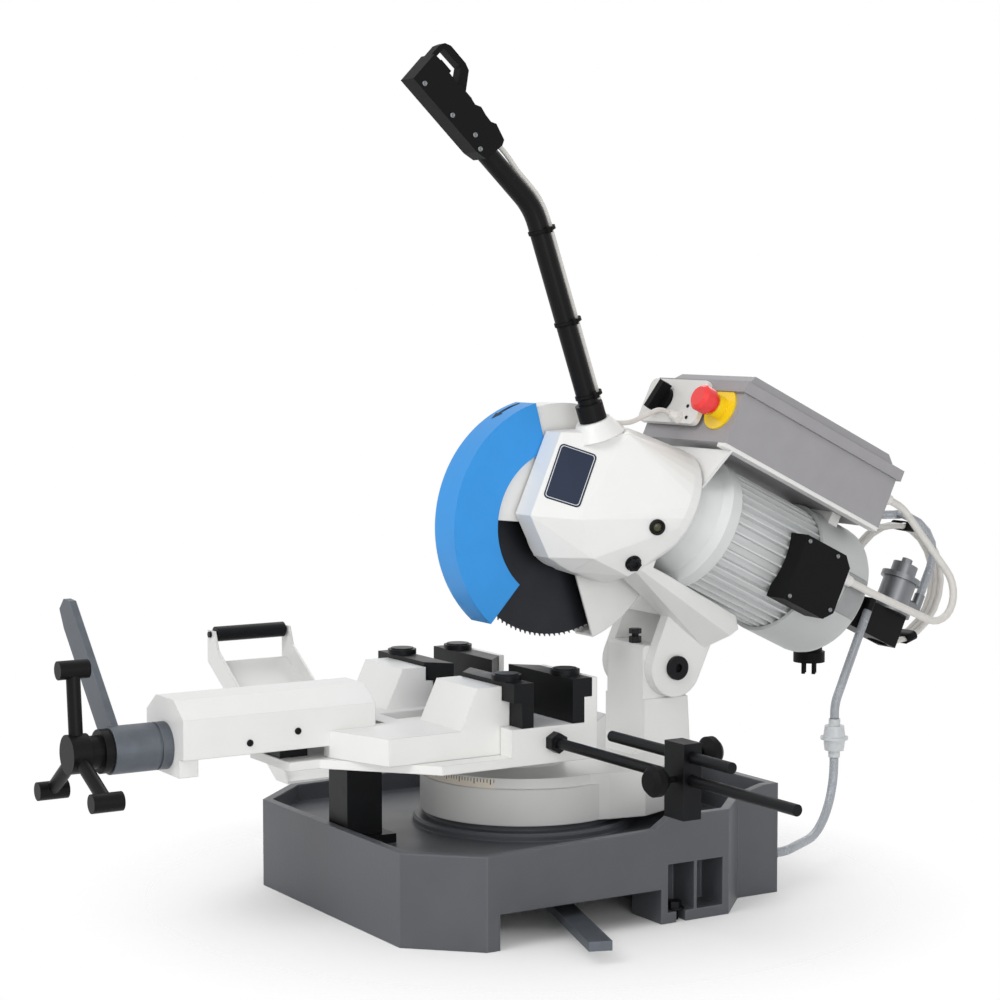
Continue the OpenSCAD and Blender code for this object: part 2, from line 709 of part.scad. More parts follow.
// Mitre turret, arm and hinge column in one casting
arm_top_z = turret_z + arm_h;
scale_r = turret_r - 6;
arm_flat_x = 96;
arm_flat_y = 95;
arm_mid_x = 142;
arm_mid_y = 51;
arm_wide_x = 151;
arm_wide_y = 103;
arm_tail_x = 112;
arm_tail_y = 200;
arm_end_x = 70;
arm_end_y = 250;
column_hw = column_w / 2;
column_recess = 4;
shelf_z = 254;
column_top = 330;
column_lean = 10;
column_top_len = 30;
column_foot = 20;
ear_r = 42;
ear_out = 62;
stop_screw_r = 5;
stop_screw_x = 8;
stop_screw_y = 12;
stop_nut_r = 9;
stop_nut_h = 9;
stop_head_h = 7;
stop_screw_h = 13;
module swivel_arm() {
  half = [[arm_flat_x, -arm_flat_y], [arm_mid_x, arm_mid_y], [arm_wide_x, arm_wide_y], [arm_tail_x, arm_tail_y],
      [arm_end_x, arm_end_y]];
  recess = column_hw - column_recess;
  color(paint_white) difference() {
    union() {
      zcyl(turret_r, turret_z, turret_z + drum_h);
      zcyl(scale_r, turret_z, arm_top_z);
      translate([0, 0, turret_z]) linear_extrude(arm_h)
        polygon(concat(half, [for (k = [len(half) - 1 : -1 : 0]) [-half[k][0], half[k][1]]]));
      xslab(-column_hw, column_hw) polygon([
        [column_front - column_foot, turret_z + drum_h], [column_front - column_foot, arm_top_z],
        [column_front, arm_top_z + column_foot],
        [column_front, column_top - column_lean / 2], [column_front + column_lean / 2, column_top],
        [column_front + column_top_len, column_top], [hinge_y + column_top_len, hinge_z + column_lean],
        [column_back - column_lean / 2, shelf_z],
        [column_back, arm_top_z], [column_back, turret_z + drum_h]]);
    }
    zcyl(pivot_r + run_gap, 0, arm_top_z + cut);
    both_sides() block([recess, column_front - cut, shelf_z], [column_w, column_back + ear_r, column_top + cut]);
    xcyl(pin_d / 2 + run_gap, -column_w, column_w, hinge_y, hinge_z);
    zcyl(stop_screw_r, shelf_z, column_top + cut, stop_screw_x, column_front + stop_screw_y);
  }
}

// Graduated strip round the turret, under the bed
scale_t = 1.2;
scale_from = 200;
scale_sweep = 112;
scale_h = 12;
module mitre_scale() {
  color(scale_cream) translate([0, 0, turret_z + drum_h]) rotate([0, 0, scale_from])
    rotate_extrude(angle = scale_sweep) translate([scale_r + clear_gap, 0]) square([scale_t, scale_h]);
}

// Screw on the column's top that stops the head's travel
module depth_stop() {
  color(tool_black) translate([stop_screw_x, column_front + stop_screw_y, column_top]) {
    zcyl(stop_screw_r, shelf_z - column_top + column_foot, stop_screw_h);
    cylinder(r = stop_nut_r, h = stop_nut_h, $fn = 6);
    translate([0, 0, stop_screw_h]) cylinder(r = stop_nut_r, h = stop_head_h, $fn = 6);
  }
}

// Hinge pin with its end caps
pin_cap_r = 17;
pin_cap_t = 6;
pin_socket_r = 6;
module hinge_pin() {
  color(tool_black) difference() {
    union() {
      xcyl(pin_d / 2, -ear_out - pin_cap_t, ear_out + pin_cap_t, hinge_y, hinge_z);
      both_sides() xcyl(pin_cap_r, ear_out + clear_gap, ear_out + pin_cap_t, hinge_y, hinge_z);
    }
    both_sides() xcyl(pin_socket_r, ear_out + clear_gap, ear_out + pin_cap_t + cut, hinge_y, hinge_z);
  }
}

// Mitre lock lever under the base
lock_hub_r = 26;
lock_reach = 417;
lock_angle = -18.7;
lock_bar_w = 30;
lock_bar_t = 12;
lock_bar_z = 18;
module mitre_lock_lever() {
  color(steel_grey) {
    zcyl(lock_hub_r, lock_bar_z, fork_h);
    zcyl(lock_stud_d / 2, fork_h, seat_z - clear_gap);
    rotate([0, 0, lock_angle]) block([0, -lock_bar_w / 2, lock_bar_z], [lock_reach, lock_bar_w / 2, lock_bar_z + lock_bar_t]);
  }
}

// Head frame: its Y runs along the motor axis and its Z square to it, from the spindle axis
module at_head() { translate([0, blade_y, blade_z]) rotate([-head_pitch, 0, 0]) children(); }
function head_point(p) = [p[0], blade_y + p[1] * cos(head_pitch) + p[2] * sin(head_pitch),
             blade_z - p[1] * sin(head_pitch) + p[2] * cos(head_pitch)];

// Gearbox housing: facetted nose, motor flange, arm and hinge ears in one casting
back_x = 28;
rim_x = 66;
nose_back = -82;
flange_t = housing_len + nose_back;
flange_r = 84;
flange_len = 14;
outline_share = 0.764;
back_shares = [[-0.99, 1.25], [-0.95, -0.2], [-0.33, -0.68], [0.17, -0.72], [0.9, -0.62], [1.2, 1.92], [0.15, 1.84]];
face_shares = [[-0.34, 0.02], [-0.09, 1.64], [0.7, 1.75], [1.26, 1.6], [1.28, 0.3], [0.9, -0.45], [0.15, -0.45]];
boss_y = -45;
boss_z = 140;
lever_boss_r = 24;
lever_boss_h = 24;
lever_tilt = 18.9;
chamber_gap = 2.5;
wheel_back = 4;
wheel_x = drive_x - wheel_back;
worm_r = 30;
worm_core_r = 22.5;
worm_front = 18;
worm_rear = 40;
nose_bearing_r = 17;
nose_shaft_r = 10;
bearing_w = 14;
bearing_r = 33;
spindle_r = 20;
spindle_tail_r = 15;
spindle_bearing_r = 40;
tail_bearing_r = 28;
shaft_r = 12;
nose_r = 60;
arm_top_s = -24;
arm_web_from = 196;
arm_end = 312;
arm_end_s = -36;
arm_heel = 273;
arm_heel_s = -76;
arm_room_r = 74;
beam_x = 92;
beam_in = 1;
beam_front_shares = [[0.19, -0.06], [0.3, -0.07], [0.428, -0.031], [0.444, 0.08], [0.19, 0.08]];
beam_side_shares = [[0.45, 0], [0.862, 0.002], [0.944, -0.101], [0.913, -0.145]];
beam_low_shares = [[0.45, 0], [0.44, -0.106], [0.603, -0.17], [0.875, -0.232], [0.92, -0.15]];
ear_top_shares = [[0.624, -0.12], [0.624, -0.185], [0.873, -0.236], [0.9, -0.15]];
guard_room = 2;
ear_in = column_hw - column_recess + clear_gap;
wheel_module = 2 * wheel_r / wheel_teeth;
wheel_tip = wheel_r + wheel_module;

// Room for the blade guard beside the housing and the motor
module guard_clearance(r, x1) { xcyl(r + guard_room, -ear_in, x1, blade_y, blade_z); }
module housing_shell() {
  size = (housing_len + nose_back) * outline_share;
  at_head() hull() {
    xslab(back_x, rim_x) polygon(back_shares * size);
    xslab(rim_x, housing_x) polygon(face_shares * size);
    ycyl(flange_r, flange_t - flange_len, flange_t, drive_x, drive_gap, $fn = hull_fn);
  }
}
module ear(x0, x1, r) { xcyl(r, x0, x1, hinge_y, hinge_z, $fn = hull_fn); }
module arm_tail(x0, x1, inset) {
  at_head() xslab(x0, x1) polygon([[arm_web_from + inset, arm_top_s - inset], [arm_end - inset, arm_top_s - inset],
    [arm_end - inset, arm_end_s], [arm_heel, arm_heel_s + inset], [arm_web_from + inset, arm_heel_s + inset]]);
}
module arm_plate(x0, x1, shares) { at_head() xslab(x0, x1) polygon(shares * arm_end); }
module housing_arm() {
  // near ear, far ear and the beam under the motor that the near ear hangs from
  hull() {
    ear(ear_in, ear_out, ear_r);
    arm_plate(ear_in, ear_out, ear_top_shares);
  }
  hull() {
    ear(-ear_out, -ear_in, ear_r);
    arm_tail(-ear_out, -ear_in, 0);
  }
  difference() {
    hull() {
      arm_plate(ear_in, housing_x - beam_in, beam_front_shares);
      arm_plate(ear_in + cut, beam_x, beam_side_shares);
      arm_plate(ear_in + cut, ear_out - cut, beam_low_shares);
    }
    at_head() ycyl(bell_rim_r + clear_gap, flange_t, cover_end, drive_x, drive_gap);
  }
  // web behind the blade guard, clear of the column and its stop screw through the whole tilt
  difference() {
    arm_tail(-ear_in - cut, ear_in + 2 * cut, cut);
    xcyl(arm_room_r, -ear_in, ear_in, hinge_y, hinge_z);
    guard_clearance(fixed_r, back_x);
  }
}
module gearbox_housing() {
  color(paint_white) difference() {
    union() {
      difference() {
        housing_shell();
        guard_clearance(guard_r, guard_w / 2 + cut);
      }
      housing_arm();
      at_head() {
        xcyl(nose_r, fixed_w / 2, rim_x);
        translate([drive_x, boss_y, boss_z]) rotate([head_pitch + lever_tilt, 0, 0])
          translate([0, 0, -lever_boss_h])
            cylinder(r1 = lever_boss_r + flange_len, r2 = lever_boss_r, h = lever_boss_h);
      }
    }
    at_head() {
      xcyl(wheel_tip + chamber_gap, wheel_x - wheel_face / 2 - chamber_gap, wheel_x + wheel_face / 2 + chamber_gap);
      ycyl(worm_r + chamber_gap, -worm_front - chamber_gap, worm_rear + cut, drive_x, drive_gap);
      ycyl(nose_bearing_r, -worm_front - bearing_w, worm_rear, drive_x, drive_gap);
      ycyl(bearing_r, worm_rear, worm_rear + bearing_w, drive_x, drive_gap);
      ycyl(bearing_r - 2 * chamber_gap, worm_rear, flange_t + cut, drive_x, drive_gap);
      xcyl(spindle_bearing_r, back_x, back_x + bearing_w);
      xcyl(spindle_bearing_r - 2 * chamber_gap, back_x, wheel_x);
      xcyl(tail_bearing_r, wheel_x, spindle_end);
      xcyl(spindle_r + chamber_gap, 0, back_x + cut);
    }
    xcyl(pin_d / 2 + run_gap, -ear_out - cut, ear_out + cut, hinge_y, hinge_z);
    lever_bore();
  }
}

// Bearings of the spindle, the worm and the motor's rear end
module bearing_ring(outer, inner, width) {
  difference() {
    cylinder(r = outer, h = width);
    translate([0, 0, -cut]) cylinder(r = inner + run_gap, h = width + 2 * cut);
  }
}
module bearings() {
  color(bright_steel) at_head() {
    translate([back_x, 0, 0]) rotate([0, 90, 0]) bearing_ring(spindle_bearing_r, spindle_r, bearing_w);
    translate([spindle_end - bearing_w, 0, 0]) rotate([0, 90, 0])
      bearing_ring(tail_bearing_r, spindle_tail_r, bearing_w);
    translate([drive_x, -worm_front - bearing_w, drive_gap]) rotate([-90, 0, 0])
      bearing_ring(nose_bearing_r, nose_shaft_r, bearing_w);
    for (t = [worm_rear, frame_end - bearing_w])
      translate([drive_x, t, drive_gap]) rotate([-90, 0, 0]) bearing_ring(bearing_r, shaft_r, bearing_w);
  }
}

// Spindle, worm wheel, blade and its clamping flange turn together
spindle_flange_r = 45;
spindle_flange_t = 10;
clamp_flange_r = 42;
clamp_flange_t = 9;
blade_bolt_r = 13;
blade_bolt_h = 10;
spindle_end = wheel_x + wheel_face / 2 + chamber_gap + bearing_w;
wheel_root = 1.25;
tooth_tip_share = 0.09;
tooth_foot_share = 0.21;
gullet_share = 0.35;
drive_pin_r = 5;
drive_pin_at = 31.5;
module at_blade() { translate([0, blade_y, blade_z]) children(); }
module spindle() {
  color(bright_steel) at_blade() {
    xcyl(spindle_flange_r, blade_t / 2, blade_t / 2 + spindle_flange_t);
    xcyl(spindle_r, blade_t / 2, wheel_x + wheel_face / 2);
    xcyl(spindle_tail_r, wheel_x, spindle_end);
    xcyl(blade_bore / 2 - run_gap, -blade_t / 2, blade_t / 2);
    for (a = [45, 225]) rotate([a, 0, 0]) xcyl(drive_pin_r - run_gap, -blade_t / 2, blade_t / 2, drive_pin_at);
  }
}
module worm_wheel() {
  root = wheel_r - wheel_root * wheel_module;
  tip = wheel_tip;
  step = 360 / wheel_teeth;
  color(bronze) at_head() difference() {
    translate([wheel_x - wheel_face / 2, 0, 0]) rotate([90, 0, 90]) linear_extrude(wheel_face)
      polygon([for (k = [0 : wheel_teeth - 1]) for (q = [[root, -tooth_foot_share], [tip, -tooth_tip_share],
        [tip, tooth_tip_share], [root, tooth_foot_share]])
        let (a = 90 + (k + 0.5 + q[1]) * step) q[0] * [cos(a), sin(a)]]);
    xcyl(spindle_r, wheel_x - wheel_face, wheel_x + wheel_face);
  }
}
module blade() {
  step = 360 / blade_teeth;
  root = blade_d / 2 - tooth_h;
  color(blade_steel) at_blade() difference() {
    translate([-blade_t / 2, 0, 0]) rotate([90, 0, 90]) linear_extrude(blade_t)
      polygon([for (k = [0 : blade_teeth - 1]) for (q = [[root, 0], [blade_d / 2, gullet_share], [root, gullet_share]])
        let (a = (k + q[1]) * step) q[0] * [cos(a), sin(a)]]);
    xcyl(blade_bore / 2, -cut - blade_t, blade_t + cut);
    for (a = [45, 225]) rotate([a, 0, 0]) xcyl(drive_pin_r, -blade_t, blade_t, drive_pin_at);
  }
}
module blade_flange() {
  color(tool_black) at_blade() {
    xcyl(clamp_flange_r, -blade_t / 2 - clamp_flange_t, -blade_t / 2);
    translate([-blade_t / 2 - clamp_flange_t - blade_bolt_h, 0, 0]) rotate([0, 90, 0])
      cylinder(r = blade_bolt_r, h = blade_bolt_h, $fn = 6);
  }
}

// Worm with its thread, motor shaft, rotor and fan turn together
worm_turns = 5;
thread_half = 2.1;
thread_top = 1.2;
thread_steps = 24;
bell_start = flange_t + 2 * run_gap;
frame_start = flange_t + bell_len;
frame_end = frame_start + frame_len;
cover_end = frame_end + cover_len;
rotor_r = 56;
rotor_inset = 14;
fan_r = 84;
fan_hub_r = 26;
fan_w = 24;
fan_at = 40;
fan_blades = 8;
fan_blade_t = 3;
worm_pitch = PI * wheel_module;
thread_lead = 1.5 * worm_pitch;
module worm_thread() {
  n = worm_turns * thread_steps;
  base_r = worm_core_r - thread_top;
  profile = [[base_r, -thread_half], [worm_r, -thread_top], [worm_r, thread_top], [base_r, thread_half]];
  points = [for (i = [0 : n]) let (a = 360 * i / thread_steps, y = worm_pitch * i / thread_steps - thread_lead)
    for (q = profile) [q[0] * sin(a), y + q[1], q[0] * cos(a)]];
  walls = [for (i = [0 : n - 1]) for (k = [0 : 3])
    let (a = i * 4 + k, b = i * 4 + (k + 1) % 4) each [[a, b, b + 4], [a, b + 4, a + 4]]];
  polyhedron(points, concat(walls, [[0, 2, 1], [0, 3, 2], [4 * n, 4 * n + 1, 4 * n + 2], [4 * n, 4 * n + 2, 4 * n + 3]]));
}
module worm_shaft() {
  color(bright_steel) at_head() translate([drive_x, 0, drive_gap]) {
    ycyl(worm_core_r, -worm_front, worm_rear);
    worm_thread();
    ycyl(nose_shaft_r, -worm_front - bearing_w, 0);
    ycyl(shaft_r, 0, cover_end + shaft_tail);
  }
}
shaft_tail = 20;
module motor_rotor() {
  color(steel_grey) at_head() translate([drive_x, 0, drive_gap]) difference() {
    ycyl(rotor_r, frame_start + rotor_inset, frame_end - 2 * rotor_inset);
    ycyl(shaft_r, frame_start, frame_end);
  }
}
module cooling_fan() {
  y0 = frame_end + fan_at;
  color(tool_black) at_head() translate([drive_x, 0, drive_gap]) difference() {
    union() {
      ycyl(fan_hub_r, y0, y0 + fan_w);
      for (k = [0 : fan_blades - 1]) rotate([0, k * 360 / fan_blades, 0])
        block([0, y0, -fan_blade_t / 2], [fan_r, y0 + fan_w, fan_blade_t / 2]);
    }
    ycyl(shaft_r, y0 - cut, y0 + fan_w + cut);
  }
}

// Motor: adapter bell, finned frame, fan cover and terminal box
bell_r = 70;
bell_rim = 17;
bell_rim_r = motor_r + 3;
bell_wall = 9;
bell_ribs = 6;
rib_t = 8;
frame_body_r = 83;
fin_t = 3;
cover_wall = 3;
cover_dome = 30;
cover_vent_r = 74;
cover_bolt = 8;
term_t0 = 98;
term_len = 90;
term_w = 96;
term_out = 192;
term_bevel = 14;
term_low_s = 18;
module motor_bell() {
  color(motor_grey) difference() {
    at_head() translate([drive_x, 0, drive_gap]) rotate([-90, 0, 0]) union() {
      rotate_extrude() polygon([
        [0, bell_start], [flange_r - bell_wall, bell_start], [flange_r - bell_wall, bell_start + bell_wall],
        [bell_r, bell_start + bell_wall], [frame_body_r, frame_start - bell_rim - bell_wall],
        [bell_rim_r, frame_start - bell_rim], [bell_rim_r, frame_start], [0, frame_start]]);
      for (k = [0 : bell_ribs - 1]) rotate([0, 0, k * 360 / bell_ribs + 30])
        block([0, -rib_t / 2, bell_start + cut], [flange_r - 2 * bell_wall + cut, rib_t / 2, frame_start - bell_rim]);
    }
    at_head() ycyl(bearing_r - 2 * chamber_gap, bell_start - cut, frame_start + cut, drive_x, drive_gap);
    guard_clearance(fixed_r, fixed_w / 2 + guard_room);
  }
}
module motor_frame() {
  color(motor_grey) at_head() translate([drive_x, 0, drive_gap]) difference() {
    union() {
      ycyl(frame_body_r, frame_start, frame_end);
      intersection() {
        ycyl(motor_r, frame_start, frame_end);
        for (k = [0 : fin_count / 2 - 1]) rotate([0, k * 360 / fin_count, 0])
          block([-motor_r, frame_start, -fin_t / 2], [motor_r, frame_end, fin_t / 2]);
      }
    }
    ycyl(rotor_r + 2 * clear_gap, frame_start - cut, frame_end - bearing_w);
    ycyl(bearing_r, frame_end - bearing_w - cut, frame_end + cut);
  }
}
module fan_cover() {
  mouth = frame_end - bearing_w;
  color(motor_grey) at_head() translate([drive_x, 0, drive_gap]) rotate([-90, 0, 0]) difference() {
    rotate_extrude() polygon(concat(
      [[motor_r + clear_gap, mouth], [cover_r, mouth]],
      [for (a = [0 : 15 : 90]) [cover_r - cover_dome * (1 - cos(a)), cover_end - cover_dome * (1 - sin(a))]],
      [[shaft_r + 2 * chamber_gap, cover_end], [shaft_r + 2 * chamber_gap, cover_end - cover_wall]],
      [for (a = [90 : -15 : 0]) [cover_r - cover_dome + (cover_dome - cover_wall) * cos(a),
        cover_end - cover_dome + (cover_dome - cover_wall) * sin(a)]],
      [[cover_r - cover_wall, frame_end + cover_bolt], [motor_r + clear_gap, frame_end + cover_bolt]]));
    for (k = [0 : vent_slots - 1]) rotate([0, 0, k * 360 / vent_slots])
      block([cover_vent_r / 2, -cover_wall, cover_end - 2 * cover_wall],
         [cover_vent_r - cover_wall, cover_wall, cover_end + cut]);
    translate([term_x0, -term_w / 2 - clear_gap + term_shift, 0])
      cube([cover_r, term_w + 2 * clear_gap, term_t1 + clear_gap]);
  }
}
vent_slots = 12;
term_shift = -(term_low_s + term_w / 2 - drive_gap);
term_t1 = frame_start + term_t0 + term_len;
term_x0 = frame_body_r - 2;
module terminal_box() {
  low = [frame_start + term_t0, term_low_s];
  high = low + [term_len, term_w];
  color(tool_black) at_head() difference() {
    xslab(drive_x + frame_body_r - 1, term_out) polygon([
      low, [high[0] - term_bevel, low[1]], [high[0], low[1] + term_bevel],
      [high[0], high[1] - term_bevel], [high[0] - term_bevel, high[1]], [low[0], high[1]]]);
    ycyl(motor_r + clear_gap, low[0] - cut, high[0] + cut, drive_x, drive_gap);
  }
}

// Control box along the motor, its lid, bracket, switch plate and emergency stop
box_front = 104;
box_low = 177;
box_wall = 3;
lid_over = 5;
lid_inset = 14;
lid_taper = 8;
box_top = box_low + box_h;
box_x0 = drive_x - box_w / 2;
box_x1 = drive_x + box_w / 2;
module control_box() {
  color(box_grey) at_head() difference() {
    block([box_x0, box_front, box_low], [box_x1, box_front + box_len, box_top]);
    block([box_x0 + box_wall, box_front + box_wall, box_low + box_wall],
       [box_x1 - box_wall, box_front + box_len - box_wall, box_top + cut]);
  }
}
module control_lid() {
  y0 = box_front - lid_over;
  y1 = box_front + box_len + lid_over;
  color(box_grey) at_head() {
    block([box_x0 - lid_over, y0, box_top], [box_x1 + lid_over, y1, box_top + lip_h]);
    hull() {
      block([box_x0 + lid_inset - lid_over, y0 + lid_inset, box_top + lip_h],
         [box_x1 - lid_inset + lid_over, y1 - lid_inset, box_top + lip_h + lid_over]);
      block([box_x0 + lid_inset, y0 + lid_inset + lid_taper, box_top + lip_h + lid_h - lid_over],
         [box_x1 - lid_inset, y1 - lid_inset - lid_taper, box_top + lip_h + lid_h]);
    }
  }
}
rail_w = 18;
rail_h = 6;
sheet_t = 4;
sheet_t0 = 116;
sheet_tip = 112;
sheet_left = 20;
sheet_cut = 35;
saddle_w = 54;
module box_bracket() {
  s1 = box_low - rail_h;
  color(paint_white) at_head() {
    // two rails under the box
    for (x = [box_x0, box_x1 - rail_w]) block([x, box_front, s1], [x + rail_w, box_front + box_len, box_low]);
    // sheet that stands on the motor's front flange
    difference() {
      yslab(sheet_t0, sheet_t0 + sheet_t) polygon([[sheet_left, s1], [box_x1, s1], [box_x1 - sheet_cut, sheet_tip],
        [sheet_left + sheet_cut, sheet_tip]]);
      ycyl(flange_r - bell_wall + clear_gap, sheet_t0 - cut, sheet_t0 + 2 * sheet_t, drive_x, drive_gap);
    }
    // saddle on the fan cover
    difference() {
      block([drive_x - saddle_w, frame_end + cover_bolt, drive_gap + saddle_w],
         [drive_x + saddle_w, frame_end + cover_bolt + bell_rim, box_low]);
      ycyl(cover_r + clear_gap, frame_end, cover_end, drive_x, drive_gap);
    }
  }
}
plate_over = 8;
plate_right = 100;
plate_low = 196;
plate_high = 262;
plate_out = 8;
plate_round = 10;
knob_x = 12;
knob_s = 230;
estop_x = 130;
estop_s = 226;
module switch_plate() {
  y1 = box_front - lid_over - clear_gap;
  color(paint_white) at_head() {
    yslab(y1 - plate_out, y1) hull() for (x = [box_x0 - plate_over + plate_round, plate_right - plate_round])
      for (z = [plate_low + plate_round, plate_high - plate_round]) translate([x, z]) circle(plate_round, $fn = hull_fn);
    block([box_x0 + plate_round, y1, plate_low + plate_round], [plate_right - plate_round, box_front, box_top - clear_gap]);
  }
}
estop_disc_r = 31;
estop_disc_t = 3;
estop_neck_r = 13;
estop_neck = 16;
estop_r = 19;
estop_head = 20;
estop_dome = 5;
estop_travel = 8;
module estop_collar() {
  y1 = box_front - lid_over - clear_gap;
  color(safety_yellow) at_head() difference() {
    union() {
      ycyl(estop_disc_r, box_front - estop_disc_t, box_front, estop_x, estop_s);
      ycyl(estop_neck_r + estop_disc_t, box_front - estop_neck, box_front, estop_x, estop_s);
    }
    ycyl(estop_neck_r + run_gap, box_front - estop_neck - cut, box_front - estop_disc_t, estop_x, estop_s);
    block([box_x0, box_front - estop_neck - cut, box_top - clear_gap], [box_x1, box_front + cut, box_top + estop_disc_r]);
  }
}
module estop_button() {
  stem = box_front - estop_disc_t - estop_travel;
  tip = box_front - estop_neck - estop_travel - clear_gap;
  color(safety_red) at_head() translate([estop_x, 0, estop_s]) rotate([90, 0, 0]) rotate_extrude() polygon([
    [0, -stem], [estop_neck_r, -stem], [estop_neck_r, -tip], [estop_r, -tip], [estop_r, -tip + estop_head - estop_dome],
    [estop_r - estop_dome, -tip + estop_head], [0, -tip + estop_head]]);
}
knob_disc_r = 17;
knob_disc_t = 6;
knob_bar_w = 12;
knob_bar_h = 16;
knob_bar_len = 44;
module selector_knob() {
  y1 = box_front - lid_over - clear_gap - plate_out - clear_gap;
  color(tool_black) at_head() translate([knob_x, 0, knob_s]) {
    ycyl(knob_disc_r, y1 - knob_disc_t, y1);
    rotate([0, selector_lean, 0])
      block([-knob_bar_w / 2, y1 - knob_disc_t - knob_bar_h, -knob_bar_len / 2], [knob_bar_w / 2, y1 - knob_disc_t, knob_bar_len / 2]);
  }
}
selector_lean = 20;

// Fixed guard round the blade's top and back, with the pivot boss of the swinging guard
fixed_from = -72;
fixed_sweep = 246;
pivot_boss_r = 30;
pivot_boss_out = 8;
bolt_access_r = 20;
module fixed_guard() {
  inner = fixed_w / 2 - guard_t;
  color(paint_white) at_blade() difference() {
    union() {
      xsector(fixed_from, fixed_sweep) polygon([
        [spindle_flange_r + guard_t, inner], [fixed_r - guard_t, inner], [fixed_r - guard_t, -inner], [0, -inner],
        [0, -fixed_w / 2], [fixed_r, -fixed_w / 2], [fixed_r, fixed_w / 2], [spindle_flange_r + guard_t, fixed_w / 2]]);
      xcyl(pivot_boss_r, -fixed_w / 2 - pivot_boss_out, -inner);
    }
    xcyl(bolt_access_r, -fixed_w, 0);
  }
}
guard_hub_w = 15;
guard_arm_sweep = 50;
guard_arm_r = 135;
guard_arm_step = 0.4;
module swing_guard() {
  inner = guard_w / 2 - guard_t;
  mid = guard_from + guard_sweep / 2;
  color(guard_blue) at_blade() difference() {
    union() {
      xsector(guard_from, guard_sweep) polygon([
        [guard_open_r, inner], [guard_r - guard_t, inner], [guard_r - guard_t, -inner], [guard_open_r, -inner],
        [guard_open_r, -guard_w / 2], [guard_r, -guard_w / 2], [guard_r, guard_w / 2], [guard_open_r, guard_w / 2]]);
      // far cheek's arm and its ring on the pivot boss
      xslab(guard_arm_step - guard_w / 2, -inner - guard_arm_step) polygon([[0, 0],
        for (a = [-guard_arm_sweep / 2, guard_arm_sweep / 2]) guard_arm_r * [cos(mid + a), sin(mid + a)]]);
      xcyl(pivot_boss_r + guard_hub_w, -guard_w / 2, -inner);
    }
    xcyl(pivot_boss_r + run_gap, -guard_w, 0);
  }
}

// Lever tube, its collar and the handle
lever_base = head_point([drive_x, boss_y, boss_z]);
lever_len = 325.5;
bend_r = 46;
bend_angle = 27.4;
upper_len = 74;
collar_out = 5;
collar_h = 24;
tube_seat = 20;
tube_in_grip = 40;
lever_sides = 24;
bend_turn = 2 * bend_r;
bend_rings = 6;
bend_end = [0, -bend_turn * (1 - cos(bend_angle)), lever_len - bend_r + bend_turn * sin(bend_angle)];
lever_route = concat([[0, 0, -tube_seat]],
  [for (k = [0 : bend_rings]) let (a = bend_angle * k / bend_rings)
    [0, -bend_turn * (1 - cos(a)), lever_len - bend_r + bend_turn * sin(a)]],
  [bend_end + (upper_len + tube_in_grip) * [0, -sin(bend_angle), cos(bend_angle)]]);
module at_lever() { translate(lever_base) rotate([lever_tilt, 0, 0]) children(); }
module lever_bore() { at_lever() zcyl(lever_d / 2 + run_gap, -tube_seat, lever_boss_h); }
module lever_tube() {
  color(tool_black) at_lever() {
    tube(lever_route, lever_d, lever_sides, across);
    zcyl(lever_d / 2 + collar_out, clear_gap, collar_h);
  }
}
// Handle frame: Z along the grip, Y towards the operator's fingers
module at_grip() {
  at_lever() translate(bend_end) rotate([bend_angle, 0, 0]) translate([0, 0, upper_len]) children();
}
grip_shares = [[-0.16, 0.03], [-0.21, 0.14], [-0.21, 1.0], [0.56, 1.0], [0.66, 0.975], [0.71, 0.92], [0.71, 0.72],
        [0.67, 0.655], [0.38, 0.55], [0.33, 0.48], [0.315, 0.43], [0.37, 0.375], [0.34, 0.3], [0.33, 0.22],
        [0.38, 0.17], [0.30, 0.02], [0.21, 0]];
window_shares = [[0.40, 0.955], [0.585, 0.955], [0.595, 0.725], [0.32, 0.63], [0.33, 0.785], [0.41, 0.88]];
loop_w = 18;
loop_from_share = 0.34;
module grip_outline(shares) { polygon([for (p = shares) [p[0] * grip_depth, p[1] * grip_len]]); }
module handle_grip() {
  color(tool_black) at_grip() difference() {
    xslab(-grip_w / 2, grip_w / 2) grip_outline(grip_shares);
    xslab(-grip_w, grip_w) grip_outline(window_shares);
    both_sides() block([loop_w / 2, loop_from_share * grip_depth, grip_len / 2], [grip_w, grip_depth, grip_len + cut]);
    translate([0, 0, -cut]) cylinder(r = lever_d / 2 + run_gap, h = tube_in_grip + cut);
    trigger_slot();
  }
}
trigger_at_share = 0.83;
trigger_len = 20;
trigger_w = 12;
trigger_out = 9;
trigger_in = 16;
trigger_face = 0.33;
module trigger_slot() {
  block([-trigger_w / 2 - clear_gap, trigger_face * grip_depth - trigger_in, trigger_at_share * grip_len - trigger_len / 2 - clear_gap],
     [trigger_w / 2 + clear_gap, grip_depth / 2, trigger_at_share * grip_len + trigger_len / 2 + clear_gap]);
}
module trigger() {
  color(tool_black) at_grip()
    block([-trigger_w / 2, trigger_face * grip_depth - trigger_in + trigger_out, trigger_at_share * grip_len - trigger_len / 2],
       [trigger_w / 2, trigger_face * grip_depth + trigger_out, trigger_at_share * grip_len + trigger_len / 2]);
}

